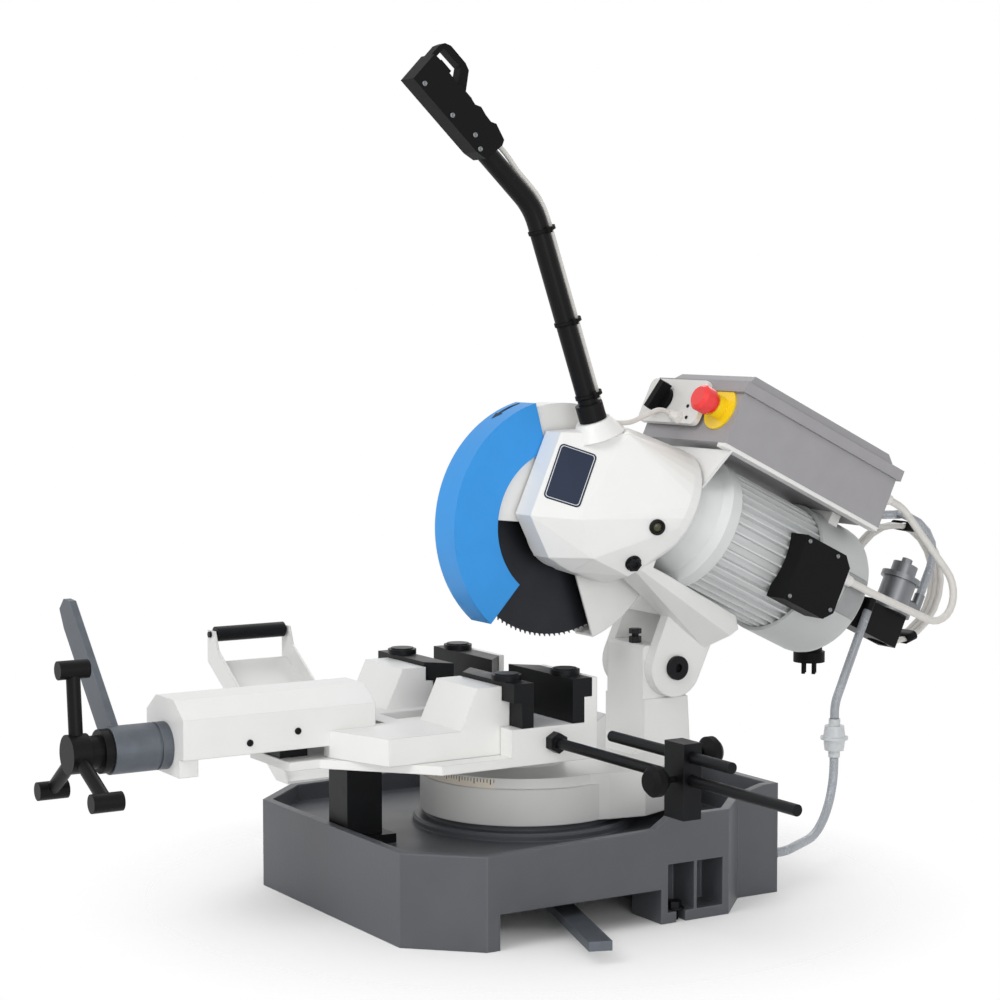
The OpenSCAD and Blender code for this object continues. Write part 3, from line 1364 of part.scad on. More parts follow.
// Coolant pump on its bracket behind the fan cover
pump_t = 560;
pump_low = 64;
pump_barrel_r = 16;
pump_flange_r = 32;
pump_flange_s = 98;
pump_flange_t = 10;
pump_body_r = 25;
pump_cap_s = 148;
pump_cap_r = 30;
pump_cap_t = 8;
pump_dome_r = 19;
pump_top = 174;
pump_tip_r = 8;
pump_tip = 9;
port_r = 8;
outlet_s = 122;
outlet_len = 46;
elbow_h = 22;
inlet_r_out = 6.5;
inlet_len_s = 18;
inlet_dx = 26.5;
inlet_t = 500;
bracket_hw = 19;
bracket_low = 50;
bracket_high = pump_flange_s;
module coolant_pump() {
  color(bright_steel) at_head() translate([drive_x, pump_t, 0]) {
    zcyl(pump_barrel_r, pump_low, pump_flange_s);
    zcyl(pump_flange_r, pump_flange_s, pump_flange_s + pump_flange_t);
    zcyl(pump_body_r, pump_flange_s, pump_cap_s);
    zcyl(pump_cap_r, pump_cap_s, pump_cap_s + pump_cap_t);
    zcyl(pump_dome_r, pump_cap_s, pump_top);
    translate([0, 0, pump_top]) cylinder(r = pump_tip_r, h = pump_tip, $fn = 6);
    ycyl(port_r, 0, outlet_len, 0, outlet_s);
    zcyl(port_r, outlet_s - port_r, outlet_s + elbow_h, 0, outlet_len);
  }
}
module pump_bracket() {
  color(tool_black) at_head() difference() {
    union() {
      block([drive_x - bracket_hw, cover_end, bracket_low],
         [drive_x + bracket_hw, pump_t + pump_barrel_r + sheet_t, bracket_high]);
      // suction port on the near side
      block([drive_x, inlet_t - inlet_r_out, bracket_high - inlet_len_s / 2],
         [drive_x + inlet_dx, inlet_t + inlet_r_out, bracket_high]);
      zcyl(inlet_r_out, bracket_high - inlet_len_s, bracket_high, drive_x + inlet_dx, inlet_t);
    }
    ycyl(shaft_r + 2 * chamber_gap, cover_end - cut, cover_end + shaft_tail + 2 * chamber_gap, drive_x, drive_gap);
    zcyl(pump_barrel_r + run_gap, bracket_low - cut, bracket_high + cut, drive_x, pump_t);
  }
}

// Cable glands on the terminal box, the control box and the switch plate
gland_r = 9;
gland_len = 18;
gland_nut_r = 10;
gland_nut_t = 8;
term_gland = [180, term_t1, 86];
box_gland_motor = [150, box_front + box_len, 226];
box_gland_supply = [96, box_front + box_len, 205];
plate_gland = [60, box_front - lid_over - clear_gap - plate_out, 203];
module gland(place, dir, bore) {
  translate(place) rotate([-90 * dir, 0, 0]) difference() {
    union() {
      cylinder(r = gland_nut_r, h = gland_nut_t, $fn = 6);
      cylinder(r1 = gland_r, r2 = bore / 2 + gland_wall, h = gland_len);
    }
    translate([0, 0, gland_nut_t / 2]) cylinder(r = bore / 2 + run_gap, h = gland_len);
  }
}
gland_wall = 2;
module cable_glands() {
  color(cable_grey) at_head() {
    gland(term_gland, 1, motor_cable_d);
    gland(box_gland_motor, 1, motor_cable_d);
    gland(box_gland_supply, 1, supply_d);
    gland(plate_gland, -1, control_d);
  }
}

// Routes of the cables and hoses, in points chosen by hand
tube_sides = 10;
thin_sides = 8;
route_steps = 2;
across = [1, 0, 0];
gland_seat = gland_nut_t / 2;
function lever_point(y, z) = lever_base + [0, y * cos(lever_tilt) - z * sin(lever_tilt),
                      y * sin(lever_tilt) + z * cos(lever_tilt)];
function bent_point(y, a, z) = lever_point((bend_turn + y) * cos(a) - bend_turn - z * sin(a),
                      lever_len - bend_r + (bend_turn + y) * sin(a) + z * cos(a));
cable_off = lever_d / 2 + control_d / 2 + clear_gap;
control_route = concat([bent_point(21, bend_angle, 71), bent_point(21, bend_angle, 60), bent_point(19, bend_angle, 40)],
  [bent_point(cable_off, bend_angle, 20)],
  [for (k = [6 : -1 : 0]) bent_point(cable_off, bend_angle * k / 6, 0)],
  [for (z = [220, 190, 160, 130, 100, 70, 45]) lever_point(cable_off, z)],
  [[70, 87, 679], [70, 97, 660], [69, 112, 647], [66, 134, 641], [63, 160, 643]],
  [head_point(plate_gland - [0, 2 * gland_len, 0]), head_point(plate_gland - [0, gland_len, 0])],
  [head_point(plate_gland - [0, gland_seat, 0])]);
motor_route = concat([head_point(term_gland + [0, gland_seat, 0]), head_point(term_gland + [0, gland_len, 0])],
  [[180, 460, 405], [180, 490, 391], [179, 522, 377], [178, 556, 366], [177, 590, 357], [176, 620, 357],
   [175, 637, 369], [173, 639, 390], [170, 626, 416], [165, 603, 450], [159, 579, 480], [153, 556, 503]],
  [head_point(box_gland_motor + [0, gland_len, 0]), head_point(box_gland_motor + [0, gland_seat, 0])]);

// Supply cable: out of the box, round the hanging coil, to the plug behind the pump
coil_y = 650;
coil_z = 388;
coil_x = 32;
coil_step = 11;
loop_rings = 24;
loop_sides = 6;
supply_lead = [head_point(box_gland_supply + [0, gland_seat, 0]), head_point(box_gland_supply + [0, gland_len, 0]),
        [92, 542, 503], [82, 562, 496], [66, 588, 489], [50, 612, 482], [38, 632, 478]];
coil_points = [for (i = [1 : (coil_turns - 1 / 4) * loop_rings]) let (a = 90 - 360 * i / loop_rings)
  [coil_x - coil_step * i / loop_rings, coil_y + coil_r * cos(a), coil_z + coil_r * sin(a)]];
// the tail turns over on itself and hangs down to the plug
coil_end = coil_points[len(coil_points) - 1];
tail_r = 36;
tail_drop = 12;
tail_rings = 8;
supply_tail = concat([for (k = [1 : tail_rings]) let (a = 180 * k / tail_rings)
  coil_end + [-tail_r * (1 - cos(a)), 0, tail_drop + tail_r * sin(a)]], [coil_end - [2 * tail_r, 0, tail_drop]]);
supply_route = concat(supply_lead, coil_points, supply_tail);
plug_top = supply_route[len(supply_route) - 1];
function gaps_from(p, i, skip) = min([for (j = [i + skip : len(p) - 1]) norm(p[i] - p[j])]);
loop_skip = 8;
supply_self_gap = min([for (i = [0 : len(supply_route) - 1 - loop_skip]) gaps_from(supply_route, i, loop_skip)]) - supply_d;
plug_r_body = 20;
plug_body = 62;
plug_neck = 34;
plug_face_r = 24;
plug_collar = 16;
plug_pin_r = 3;
plug_pin = 18;
plug_pin_at = 11;
plug_pins = 4;
module supply_cable() {
  echo(supply_self_gap = supply_self_gap);
  color(cable_grey) tube(supply_route, supply_d, loop_sides, [1, 1, 0]);
}
plug_lean = [180, 0, 0];
module supply_plug() {
  color(tool_black) translate(plug_top - [0, 0, clear_gap]) rotate(plug_lean) {
    rotate_extrude() polygon([[0, 0], [supply_d, 0], [plug_r_body, plug_neck], [plug_r_body, plug_neck + plug_body],
      [plug_face_r, plug_neck + plug_body], [plug_face_r, plug_neck + plug_body + plug_collar],
      [0, plug_neck + plug_body + plug_collar]]);
    for (k = [0 : plug_pins - 1]) rotate([0, 0, k * 360 / plug_pins])
      zcyl(plug_pin_r, plug_neck + plug_body, plug_neck + plug_body + plug_collar + plug_pin, plug_pin_at);
  }
}

// Hoses: delivery to the guard, suction down to the filter, return from the filter to the base
s_dir = head_point([0, 0, 1]) - head_point([0, 0, 0]);
elbow_top = head_point([drive_x, pump_t + outlet_len, outlet_s + elbow_h]) + clear_gap * s_dir;
guard_inlet = [-fixed_w / 2 - clear_gap, 188, 529];
delivery_route = concat([elbow_top, elbow_top + hose_d * s_dir],
  [[68, 683, 436], [62, 678, 462], [52, 656, 484], [38, 626, 496], [18, 594, 496], [-8, 562, 488], [-34, 526, 482],
   [-50, 486, 486], [-58, 440, 500], [-60, 390, 520], [-60, 340, 534], [-60, 290, 540], [-59, 244, 538], [-54, 208, 532]],
  [guard_inlet - [2 * hose_d, -2, 0], guard_inlet - [hose_d, 0, 0], guard_inlet]);
filter_x = 100;
filter_y = 473;
filter_top = 208;
filter_low = 152;
filter_flange_r = 20;
filter_body_r = 14;
filter_nipple = 10;
pump_inlet = head_point([drive_x + inlet_dx, inlet_t, pump_flange_s - inlet_len_s]) - clear_gap * s_dir;
suction_route = concat([pump_inlet, pump_inlet - hose_d * s_dir],
  [[97, 526, 328], [97, 522, 303], [97, 514, 277], [98, 501, 253], [99, 486, 236]],
  [[filter_x, filter_y, filter_top + hose_d], [filter_x, filter_y, filter_top + clear_gap]]);
return_route = concat([[filter_x, filter_y, filter_low - clear_gap], [filter_x, filter_y, filter_low - hose_d]],
  [[102, 469, 116], [109, 455, 91], [122, 429, 67], [140, 394, 53], [162, 354, 47]],
  [[inlet_x, base_rear + inlet_len + hose_d, inlet_z], [inlet_x, base_rear + inlet_len + clear_gap, inlet_z]]);
module control_cable() { color(cable_grey) tube(control_route, control_d, thin_sides, across); }
module motor_cable() { color(cable_grey) tube(smooth_route(motor_route, route_steps), motor_cable_d, tube_sides, across); }
module delivery_hose() { color(hose_grey) tube(smooth_route(delivery_route, route_steps), hose_d, tube_sides, [1, 0, 1]); }
module suction_hose() { color(hose_grey) tube(smooth_route(suction_route, route_steps), hose_d, tube_sides, across); }
module return_hose() { color(hose_grey) tube(smooth_route(return_route, route_steps), hose_d, tube_sides, across); }
module inline_filter() {
  mid = (filter_top + filter_low) / 2;
  color(motor_grey) translate([filter_x, filter_y, 0]) rotate_extrude() polygon([
    [0, filter_low], [hose_d / 2 + gland_wall, filter_low], [hose_d / 2 + gland_wall, filter_low + filter_nipple],
    [filter_body_r, filter_low + filter_nipple], [filter_body_r + gland_wall, mid - gland_wall],
    [filter_flange_r, mid - gland_wall], [filter_flange_r, mid + gland_wall], [filter_body_r + gland_wall, mid + gland_wall],
    [filter_body_r, filter_top - filter_nipple], [hose_d / 2 + gland_wall, filter_top - filter_nipple],
    [hose_d / 2 + gland_wall, filter_top], [0, filter_top]]);
}

base();
levelling_bolts();
vise_bed();
bed_support();
vise_nut();
stop_rod();
roller_arm();
return_hose();
fixed_jaw_left();
fixed_jaw_right();
movable_jaw_left();
movable_jaw_right();
roller();
swivel_arm();
mitre_scale();
depth_stop();
hinge_pin();
inline_filter();
mitre_lock_lever();
gearbox_housing();
fixed_guard();
lever_tube();
handle_grip();
motor_bell();
motor_frame();
fan_cover();
terminal_box();
bearings();
control_box();
control_lid();
box_bracket();
switch_plate();
estop_collar();
coolant_pump();
pump_bracket();
cable_glands();
control_cable();
motor_cable();
supply_cable();
supply_plug();
delivery_hose();
suction_hose();
worm_shaft();
motor_rotor();
cooling_fan();
blade();
spindle();
worm_wheel();
blade_flange();
swing_guard();
trigger();
selector_knob();
estop_button();
vise_arm();
clamp_lever();
handwheel();
stop_block();
stop_finger();
stop_knob_front();
stop_knob_rear();
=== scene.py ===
"""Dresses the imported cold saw: finishes, cables, hoses, small fittings, stage and camera."""

import json
import math

import bmesh
import bpy
from mathutils import Matrix, Vector
from mathutils.bvhtree import BVHTree
from mathutils.geometry import convex_hull_2d


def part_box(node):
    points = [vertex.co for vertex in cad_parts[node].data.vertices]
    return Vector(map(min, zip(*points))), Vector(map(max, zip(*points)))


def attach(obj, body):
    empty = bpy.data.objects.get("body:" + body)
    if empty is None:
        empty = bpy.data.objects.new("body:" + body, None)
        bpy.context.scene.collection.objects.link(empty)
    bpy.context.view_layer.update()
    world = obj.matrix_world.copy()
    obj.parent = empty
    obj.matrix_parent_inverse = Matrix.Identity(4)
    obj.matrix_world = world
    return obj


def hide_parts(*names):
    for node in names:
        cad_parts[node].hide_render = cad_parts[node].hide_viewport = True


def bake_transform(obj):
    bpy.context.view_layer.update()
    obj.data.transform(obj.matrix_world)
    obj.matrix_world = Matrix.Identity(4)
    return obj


bl_info = {
    "name": "Cold saw looks",
    "version": (1, 0, 0),
    "blender": (4, 5, 0),
    "location": "View3D > Sidebar > Cold saw",
    "description": "Finishes, cables, hoses, fittings and stage of a pull-down cold saw",
    "category": "Object",
}

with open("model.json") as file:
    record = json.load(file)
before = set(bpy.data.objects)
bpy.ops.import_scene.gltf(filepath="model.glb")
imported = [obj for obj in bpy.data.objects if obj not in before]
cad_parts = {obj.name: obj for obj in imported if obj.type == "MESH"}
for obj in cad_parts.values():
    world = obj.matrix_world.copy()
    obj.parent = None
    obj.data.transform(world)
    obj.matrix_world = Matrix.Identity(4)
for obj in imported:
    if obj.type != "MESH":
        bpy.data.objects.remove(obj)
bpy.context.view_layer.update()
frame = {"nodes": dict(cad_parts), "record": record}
NODES = frame["nodes"]

# All sizes and places are in metres, places in the CAD frame unless a comment says otherwise
NEAR_SIDE = Vector((1.0, 0.0, 0.0))
# Head: the spindle that it is laid out from and its pitch at rest
SPINDLE = Vector((0.0, 0.0505, 0.505))
HEAD_PITCH = math.radians(25.45)
HEAD = Matrix.Translation(SPINDLE) @ Matrix.Rotation(-HEAD_PITCH, 4, "X")
# Blade: the radii between which its dark steel brightens towards the teeth
BRIGHT_FROM = 0.1535
BRIGHT_FULL = 0.1565
# Lever: its straight tube, and the bend below the handle
LEVER_BASE = Vector((0.070, 0.0700, 0.6508))
LEVER_TILT = math.radians(18.9)
LEVER_LENGTH = 0.3255
LEVER_RADIUS = 0.014
BEND_ANGLE = math.radians(27.4)
BEND_RADIUS = 0.092
BEND_START = LEVER_LENGTH - BEND_RADIUS / 2
# Cable glands in the head's frame, and how far out of its seat face a cable starts
TERMINAL_GLAND = (0.180, 0.364, 0.086)
BOX_MOTOR_GLAND = (0.150, 0.404, 0.226)
BOX_SUPPLY_GLAND = (0.096, 0.404, 0.205)
PLATE_GLAND = (0.060, 0.0907, 0.203)
GLAND_SEAT = 0.004

# Control cable: it starts so far past the lever's bend and off the tube's middle, then comes in to the tube
CONTROL_START = 0.071
CONTROL_START_OFF = 0.021
CONTROL_IN_FROM = 0.055
CONTROL_IN_TO = 0.028
CABLE_CLEAR = 0.0003
# Its corners below the lever, and the radius that rounds each of its corners
CONTROL_CORNERS = ((0.070, 0.0905, 0.646), (0.066, 0.134, 0.6455))
CONTROL_BEFORE_PLATE = 0.034
CONTROL_UPPER_RADII = (0.10, 0.10)
CONTROL_LOWER_RADII = (0.028, 0.06, 0.028)
# Motor cable: how far it leaves each gland, its one corner and the radii
MOTOR_FROM_TERMINAL = 0.060
MOTOR_FROM_BOX = 0.045
MOTOR_CORNER = (0.172, 0.7397, 0.2886)
MOTOR_RADII = (0.20, 0.044, 0.06)
# Supply cable: its lead, the hanging coil and the tail that carries the plug
SUPPLY_FROM_BOX = 0.044
SUPPLY_CORNER = (0.0325, 0.610, 0.476)
SUPPLY_RADII = (0.036, 0.036)
COIL_MIDDLE = Vector((0.032, 0.650, 0.388))
COIL_STEP = 0.011
COIL_POINTS = 24
COIL_TURNS = 2.75
TAIL_RADIUS = 0.036
TAIL_DROP = 0.012
TAIL_POINTS = 12
# Hoses: corners and radii, and the longest stretch between points of the suction and return hoses
DELIVERY_CORNERS = ((0.070, 0.6597, 0.3749), (0.072, 0.7156, 0.493), (0.040, 0.620, 0.495),
                    (-0.078, 0.478, 0.484), (-0.078, 0.325, 0.540), (-0.078, 0.188, 0.529),
                    (-0.0223, 0.188, 0.529))
DELIVERY_RADII = (0.057, 0.10, 0.057, 0.10, 0.0555)
SUCTION_CORNERS = ((0.0965, 0.5362, 0.3621), (0.100, 0.473, 0.2294), (0.100, 0.473, 0.2083))
SUCTION_RADII = (0.06,)
RETURN_CORNERS = ((0.100, 0.473, 0.1517), (0.101, 0.471, 0.049), (0.180, 0.322, 0.046),
                  (0.180, 0.2973, 0.046))
RETURN_RADII = (0.095, 0.06)
HOSE_STEP = 0.007

# Ties: heights on the lever, the strap, and the head that stands off the tube
TIES = {"tie_low": 0.035, "tie_middle": 0.140, "tie_high": 0.269}
TIE_SLACK = 0.0006
TIE_THICK = 0.0014
TIE_HEAD_DEPTH = 0.006
TIE_HEAD_LENGTH = 0.007
TIE_HEAD_WIDTH_SHARE = 1.5
TIE_HEAD_OFF = 0.004
# Tapes: angles round the coil in degrees, the room beside and round the cables, and the thickness
TAPES = {"coil_tape_top": 78.0, "coil_tape_bottom": -72.0}
TAPE_SIDE_SLACK = 0.002
TAPE_SLACK = 0.0015
TAPE_THICK = 0.0012

# Gearbox fittings: a place on the casting and the way that its face looks out there
SIGHT_GLASS = (Vector((0.1396, 0.1278, 0.5071)), Vector((0.945, -0.305, -0.115)))
DRAIN_PLUG = (Vector((0.1166, 0.1045, 0.4573)), Vector((0.902, -0.186, -0.390)))
# Their profiles: shares of the fitting's radius, each with its height above the casting
GLASS_RING = ((0.62, -0.001), (1.0, -0.001), (1.0, 0.0032), (0.9, 0.0044), (0.7, 0.0044), (0.62, 0.003),
              (0.62, -0.001))
GLASS_LENS = ((0.0, -0.001), (0.62, -0.001), (0.6, 0.0024), (0.3, 0.0032), (0.0, 0.0034))
PLUG_WASHER = ((0.0, -0.001), (1.05, -0.001), (1.05, 0.0016), (0.98, 0.0022), (0.0, 0.0022))
PLUG_HEXAGON = ((0.0, 0.002), (0.95, 0.002), (0.95, 0.0072), (0.82, 0.0086), (0.45, 0.0086), (0.42, 0.0060),
                (0.0, 0.0060))

# Plates: the middle, the way across and the way up
BADGE = (Vector((0.0861, 0.0221, 0.5777)), Vector((0.630, 0.7215, -0.2871)),
         Vector((-0.0186, 0.3837, 0.9233)))
COVER_PLATE = (Vector((0.1677, 0.4502, 0.3943)), Vector((0.0, 0.903, -0.430)), Vector((0.0, 0.430, 0.903)))
GUARD_ARROW = (Vector((-0.0101, -0.0219, 0.6637)), Vector((0.0, -0.918, -0.397)), NEAR_SIDE)
# Their sizes: half width, half height, corner and height above the face
BADGE_SHEET = (0.026, 0.039, 0.006, 0.0008)
COVER_SHEET = (0.021, 0.030, 0.002, 0.0006)
# The line on the badge: half width, half height, corner, line width, and the heights of its foot and top
BADGE_LINE = (0.024, 0.037, 0.0045, 0.001, 0.0006, 0.0011)
# The arrow: length, half width and height above the guard, and shares for its neck and shaft
ARROW_SIZE = (0.048, 0.008, 0.0006)
ARROW_NECK_SHARE = 0.22
ARROW_SHAFT_SHARE = 0.36
# A sheet's edge sinks so far, and its outline has so many steps round a corner and parts of a side
SHEET_SUNK = 0.0006
SHEET_STEPS = (4, 12)
# A plate's points drop onto the surface from so far out
DROP_FROM = 0.03
# Facets of the gearbox nose that get a skin, because the gear room comes through them
NOSE_FACETS = {"nose_skin_front": Vector((0.0868, 0.0136, 0.4841)),
               "nose_skin_under": Vector((0.0932, 0.0336, 0.4632))}
SKIN = 0.0004
# A triangle belongs to a facet within this gap and cosine
FACET_GAP = 0.0003
FACET_COSINE = 0.9995

# Screws: places on a flat face, those of terminal box and switch plate in the head's frame
TERMINAL_FACE = 0.192
TERMINAL_SCREWS = ((0.281, 0.107), (0.336, 0.107), (0.281, 0.025), (0.356, 0.034))
GRIP_FACE = 0.087
GRIP_SCREWS = ((-0.2030, 1.0900), (-0.1618, 1.0513), (-0.1276, 1.0273), (-0.1200, 1.0095))
ARM_FACE = 0.057
ARM_SCREWS = ((-0.4432, 0.2526), (-0.3752, 0.2617))
PLATE_FACE = PLATE_GLAND[1]
PLATE_SCREWS = ((0.0715, 0.2220), (0.0780, 0.2050))
SCREW_RADII = {"terminal": 0.0032, "grip": 0.0036, "arm": 0.0045, "plate": 0.0026}
# Their profile: shares of the radius out and up, above a foot that sinks into the face
SCREW_SHARES = ((1.0, 0.3), (0.85, 0.55), (0.5, 0.66), (0.44, 0.3), (0.0, 0.26))
SCREW_SUNK = 0.0005
SCREW_STEPS = 24

# Stage: lamps with their places and sizes, what they look at, and where the floor fades and is gone
LAMPS = {"key_lamp": ((0.9, -3.0, 3.2), 2.4), "fill_lamp": ((3.1, -0.9, 0.75), 1.8),
         "rear_lamp": ((-1.8, 2.2, 2.6), 2.0)}
LAMP_AIM = Vector((0.0, 0.0, 0.35))
FLOOR_FADES = 0.22
FLOOR_GONE = 0.62
FLOOR_HALF = 14.0
FLOOR_DROP = 0.0005
SENSOR_MM = 36.0
CLIP_END = 60.0


def linear(code):
    """Turns an sRGB hex colour into linear red, green and blue."""
    parts = [int(code[i:i + 2], 16) / 255 for i in (1, 3, 5)]
    return tuple(p / 12.92 if p <= 0.04045 else ((p + 0.055) / 1.055) ** 2.4 for p in parts)


def shade(colour, share):
    """A colour made darker or paler by a share, with its alpha."""
    return tuple(min(1.0, part * share) for part in colour[:3]) + (1.0,)


def per_mm(size):
    """Pattern scale that repeats about once in a real size given in millimetres."""
    return 1000.0 / size


def head_point(x, t, s):
    """A point of the raised head: across, along the motor axis and square to it."""
    return HEAD @ Vector((x, t, s))


def gland_point(gland, out):
    """A point on a cable gland's axis, so far out from its seat face."""
    x, t, s = gland
    return head_point(x, t + out, s)


def lever_point(y, z):
    """A point beside the straight lever tube."""
    c, k = math.cos(LEVER_TILT), math.sin(LEVER_TILT)
    return LEVER_BASE + Vector((0.0, y * c - z * k, y * k + z * c))


def bent_point(y, angle, z):
    """A point beside the lever's bend, turned by an angle and then so far along."""
    c, k = math.cos(angle), math.sin(angle)
    return lever_point((BEND_RADIUS + y) * c - BEND_RADIUS - z * k,
                       BEND_START + (BEND_RADIUS + y) * k + z * c)


def coil_point(turn, sizes):
    """A point of the hanging coil, so many turns on from its top."""
    angle = math.pi / 2 - 2 * math.pi * turn
    return COIL_MIDDLE + Vector((-COIL_STEP * turn, sizes.coil_radius * math.cos(angle),
                                 sizes.coil_radius * math.sin(angle)))


def colour_property(name, description, code):
    """A colour that a user can change, with an sRGB hex value as its default."""
    return bpy.props.FloatVectorProperty(name=name, description=description, subtype="COLOR", size=3,
                                         min=0.0, max=1.0, default=linear(code))


class ColdSawColours(bpy.types.PropertyGroup):
    """Colours of the finishes."""

    white_enamel: colour_property("White enamel", "Castings, guards and sheet brackets", "#EAEAE8")
    base_enamel: colour_property("Base enamel", "Dark grey enamel of the base casting", "#505257")
    guard_coat: colour_property("Guard coat", "Blue powder coat of the swinging guard", "#3596E2")
    motor_paint: colour_property("Motor paint", "Pale grey paint of the motor castings", "#D6D8D8")
    cover_paint: colour_property("Fan cover paint", "Grey paint of the pressed fan cover", "#BFC1C1")
    box_plastic: colour_property("Box plastic", "Grey moulding of the control box", "#9B999C")
    black_plastic: colour_property("Black plastic", "Handle, knobs and terminal box", "#101011")
    dark_steel: colour_property("Blackened steel", "Jaws, rods and pins", "#151618")
    lever_steel: colour_property("Grey steel", "Lock lever, clamp lever and sleeve", "#5E636A")
    blade_steel: colour_property("Blade steel", "Steam-treated saw blade", "#2B2D32")
    safety_red: colour_property("Safety red", "Emergency button", "#EE3434")
    safety_yellow: colour_property("Safety yellow", "Disc behind the emergency button", "#F6D21B")
    cable_sheath: colour_property("Cable sheath", "Grey sheath of the cables", "#DDDAD5")
    hose_tint: colour_property("Hose tint", "Clear hose, slightly smoky", "#B9BEC4")
    scale_strip: colour_property("Scale strip", "Cream strip of the mitre scale", "#EFE6D8")
    badge_field: colour_property("Badge field", "Dark field of the bare plate on the gearbox", "#16233A")


def length_property(name, description, low, high, default):
    """A length that a user can change between two limits."""
    return bpy.props.FloatProperty(name=name, description=description, unit="LENGTH", min=low, max=high,
                                   default=default)


class ColdSawSizes(bpy.types.PropertyGroup):
    """Sizes of the cables, hoses and small fittings."""

    control_cable: length_property(
        "Control cable", "Diameter of the cable on the lever", 0.005, 0.009, 0.007)
    motor_cable: length_property(
        "Motor cable", "Diameter of the cable to the terminal box", 0.008, 0.012, 0.011)
    supply_cable: length_property(
        "Supply cable", "Diameter of the coiled supply cable", 0.007, 0.009, 0.0085)
    coil_radius: length_property(
        "Coil radius", "Radius of the hanging coil at the middle of its turns", 0.082, 0.094, 0.088)
    hose: length_property("Hose", "Outside diameter of the coolant hoses", 0.011, 0.014, 0.013)
    tie_width: length_property("Tie width", "Width of a cable tie", 0.003, 0.008, 0.005)
    tape_width: length_property("Tape width", "Width of the tape on the coil", 0.012, 0.03, 0.020)
    sight_glass: length_property("Sight glass", "Diameter of the oil sight glass", 0.018, 0.026, 0.022)
    drain_plug: length_property(
        "Drain plug", "Diameter that the plug's washer and hexagon are shares of", 0.018, 0.026, 0.022)


class ColdSawStage(bpy.types.PropertyGroup):
    """Camera and lamps."""

    camera_place: bpy.props.FloatVectorProperty(
        name="Camera place", description="Where the camera stands",
        subtype="TRANSLATION", size=3, default=(2.7901, -1.7466, 0.8005))
    camera_turn: bpy.props.FloatVectorProperty(
        name="Camera turn", description="How the camera is turned",
        subtype="EULER", size=3,
        default=(math.radians(85.47), 0.0, math.radians(58.49)))
    lens: bpy.props.FloatProperty(
        name="Lens", description="Focal length on a 36 mm sensor",
        unit="CAMERA", min=30.0, max=200.0, default=86.4)
    key_power: bpy.props.FloatProperty(
        name="Key lamp", description="Power of the large soft lamp",
        unit="POWER", min=0.0, max=400.0, default=70.0)
    fill_power: bpy.props.FloatProperty(
        name="Fill lamp", description="Power of the lamp beside the camera and of the one behind",
        unit="POWER", min=0.0, max=200.0, default=30.0)
    room_light: bpy.props.FloatProperty(
        name="Room light", description="Strength of the even light from all sides",
        min=0.0, max=1.0, default=0.5)


def feed(tree, node, links):
    """Links outputs of other nodes to a node's inputs."""
    for name, source in links.items():
        tree.links.new(node.inputs[name], source)


def add(tree, kind, values=None, links=None):
    """Adds a node, sets its attributes and sockets, and links its inputs."""
    node = tree.nodes.new(kind)
    for name, value in (values or {}).items():
        if isinstance(name, int) or name in node.inputs:
            node.inputs[name].default_value = value
        else:
            setattr(node, name, value)
    feed(tree, node, links or {})
    return node


def new_finish(name, values):
    """Starts a material with its shader and output, and gives the material, its tree and the shader."""
    material = bpy.data.materials.new(name)
    material.use_nodes = True
    tree = material.node_tree
    tree.nodes.clear()
    shader = add(tree, "ShaderNodeBsdfPrincipled", values)
    add(tree, "ShaderNodeOutputMaterial", None, {"Surface": shader.outputs[0]})
    return material, tree, shader


def mottle(tree, shader, base, size, detail, tones, sheen=None):
    """The piece's own coordinates, patches of a size in mm, and a tone that follows them, as a sheen may."""
    place = add(tree, "ShaderNodeTexCoord").outputs["Object"]
    patches = add(tree, "ShaderNodeTexNoise", {"Scale": per_mm(size), "Detail": detail}, {"Vector": place})
    low, high = tones
    tone = add(tree, "ShaderNodeMix", {"data_type": "RGBA", 6: shade(base, low), 7: shade(base, high)},
               {0: patches.outputs[0]})
    if sheen:
        level = add(tree, "ShaderNodeMapRange", {"To Min": sheen[0], "To Max": sheen[1]},
                    {"Value": patches.outputs[0]})
        feed(tree, shader, {"Roughness": level.outputs[0]})
    return place, patches.outputs[0], tone.outputs[2]


def soft_relief(tree, height, strength, depth, radius):
    """A normal with a fine relief, and with edges softened to a radius."""
    edge = add(tree, "ShaderNodeBevel", {"samples": 4, "Radius": radius})
    bump = add(tree, "ShaderNodeBump", {"Strength": strength, "Distance": depth},
               {"Height": height, "Normal": edge.outputs[0]})
    return bump.outputs[0]


def edge_highlight(tree, radius, start, full, most):
    """A softened edge normal, and the share of painted highlight on an edge, from how far that normal turns.
    """
    edge = add(tree, "ShaderNodeBevel", {"samples": 4, "Radius": radius})
    flat = add(tree, "ShaderNodeNewGeometry")
    turn = add(tree, "ShaderNodeVectorMath", {"operation": "DOT_PRODUCT"},
               {0: edge.outputs[0], 1: flat.outputs["Normal"]})
    # painted highlight: the further the softened normal turns from the flat one, the paler the edge is
    # painted
    highlight_share = add(tree, "ShaderNodeMapRange", {"From Min": start, "From Max": full, "To Max": most},
                 {"Value": turn.outputs["Value"]})
    return edge.outputs[0], highlight_share.outputs[0]


def white_enamel(colours):
    # Satin enamel sprayed on iron castings and sheet: soft broad highlights, faint orange peel.
    material, tree, shader = new_finish("satin_white_enamel", {
        "Roughness": 0.38, "IOR": 1.5, "Coat Weight": 0.12, "Coat Roughness": 0.25})
    place, _, tone = mottle(tree, shader, colours.white_enamel, 70, 4.0, (0.93, 1.0))
    # orange peel is about 1 mm across on such paint, drawn at 3 mm so that it shows
    peel = add(tree, "ShaderNodeTexNoise", {"Scale": per_mm(3), "Detail": 2.0}, {"Vector": place})
    relief = soft_relief(tree, peel.outputs[0], 0.18, 0.0004, 0.0022)
    feed(tree, shader, {"Base Color": tone, "Normal": relief})
    return material


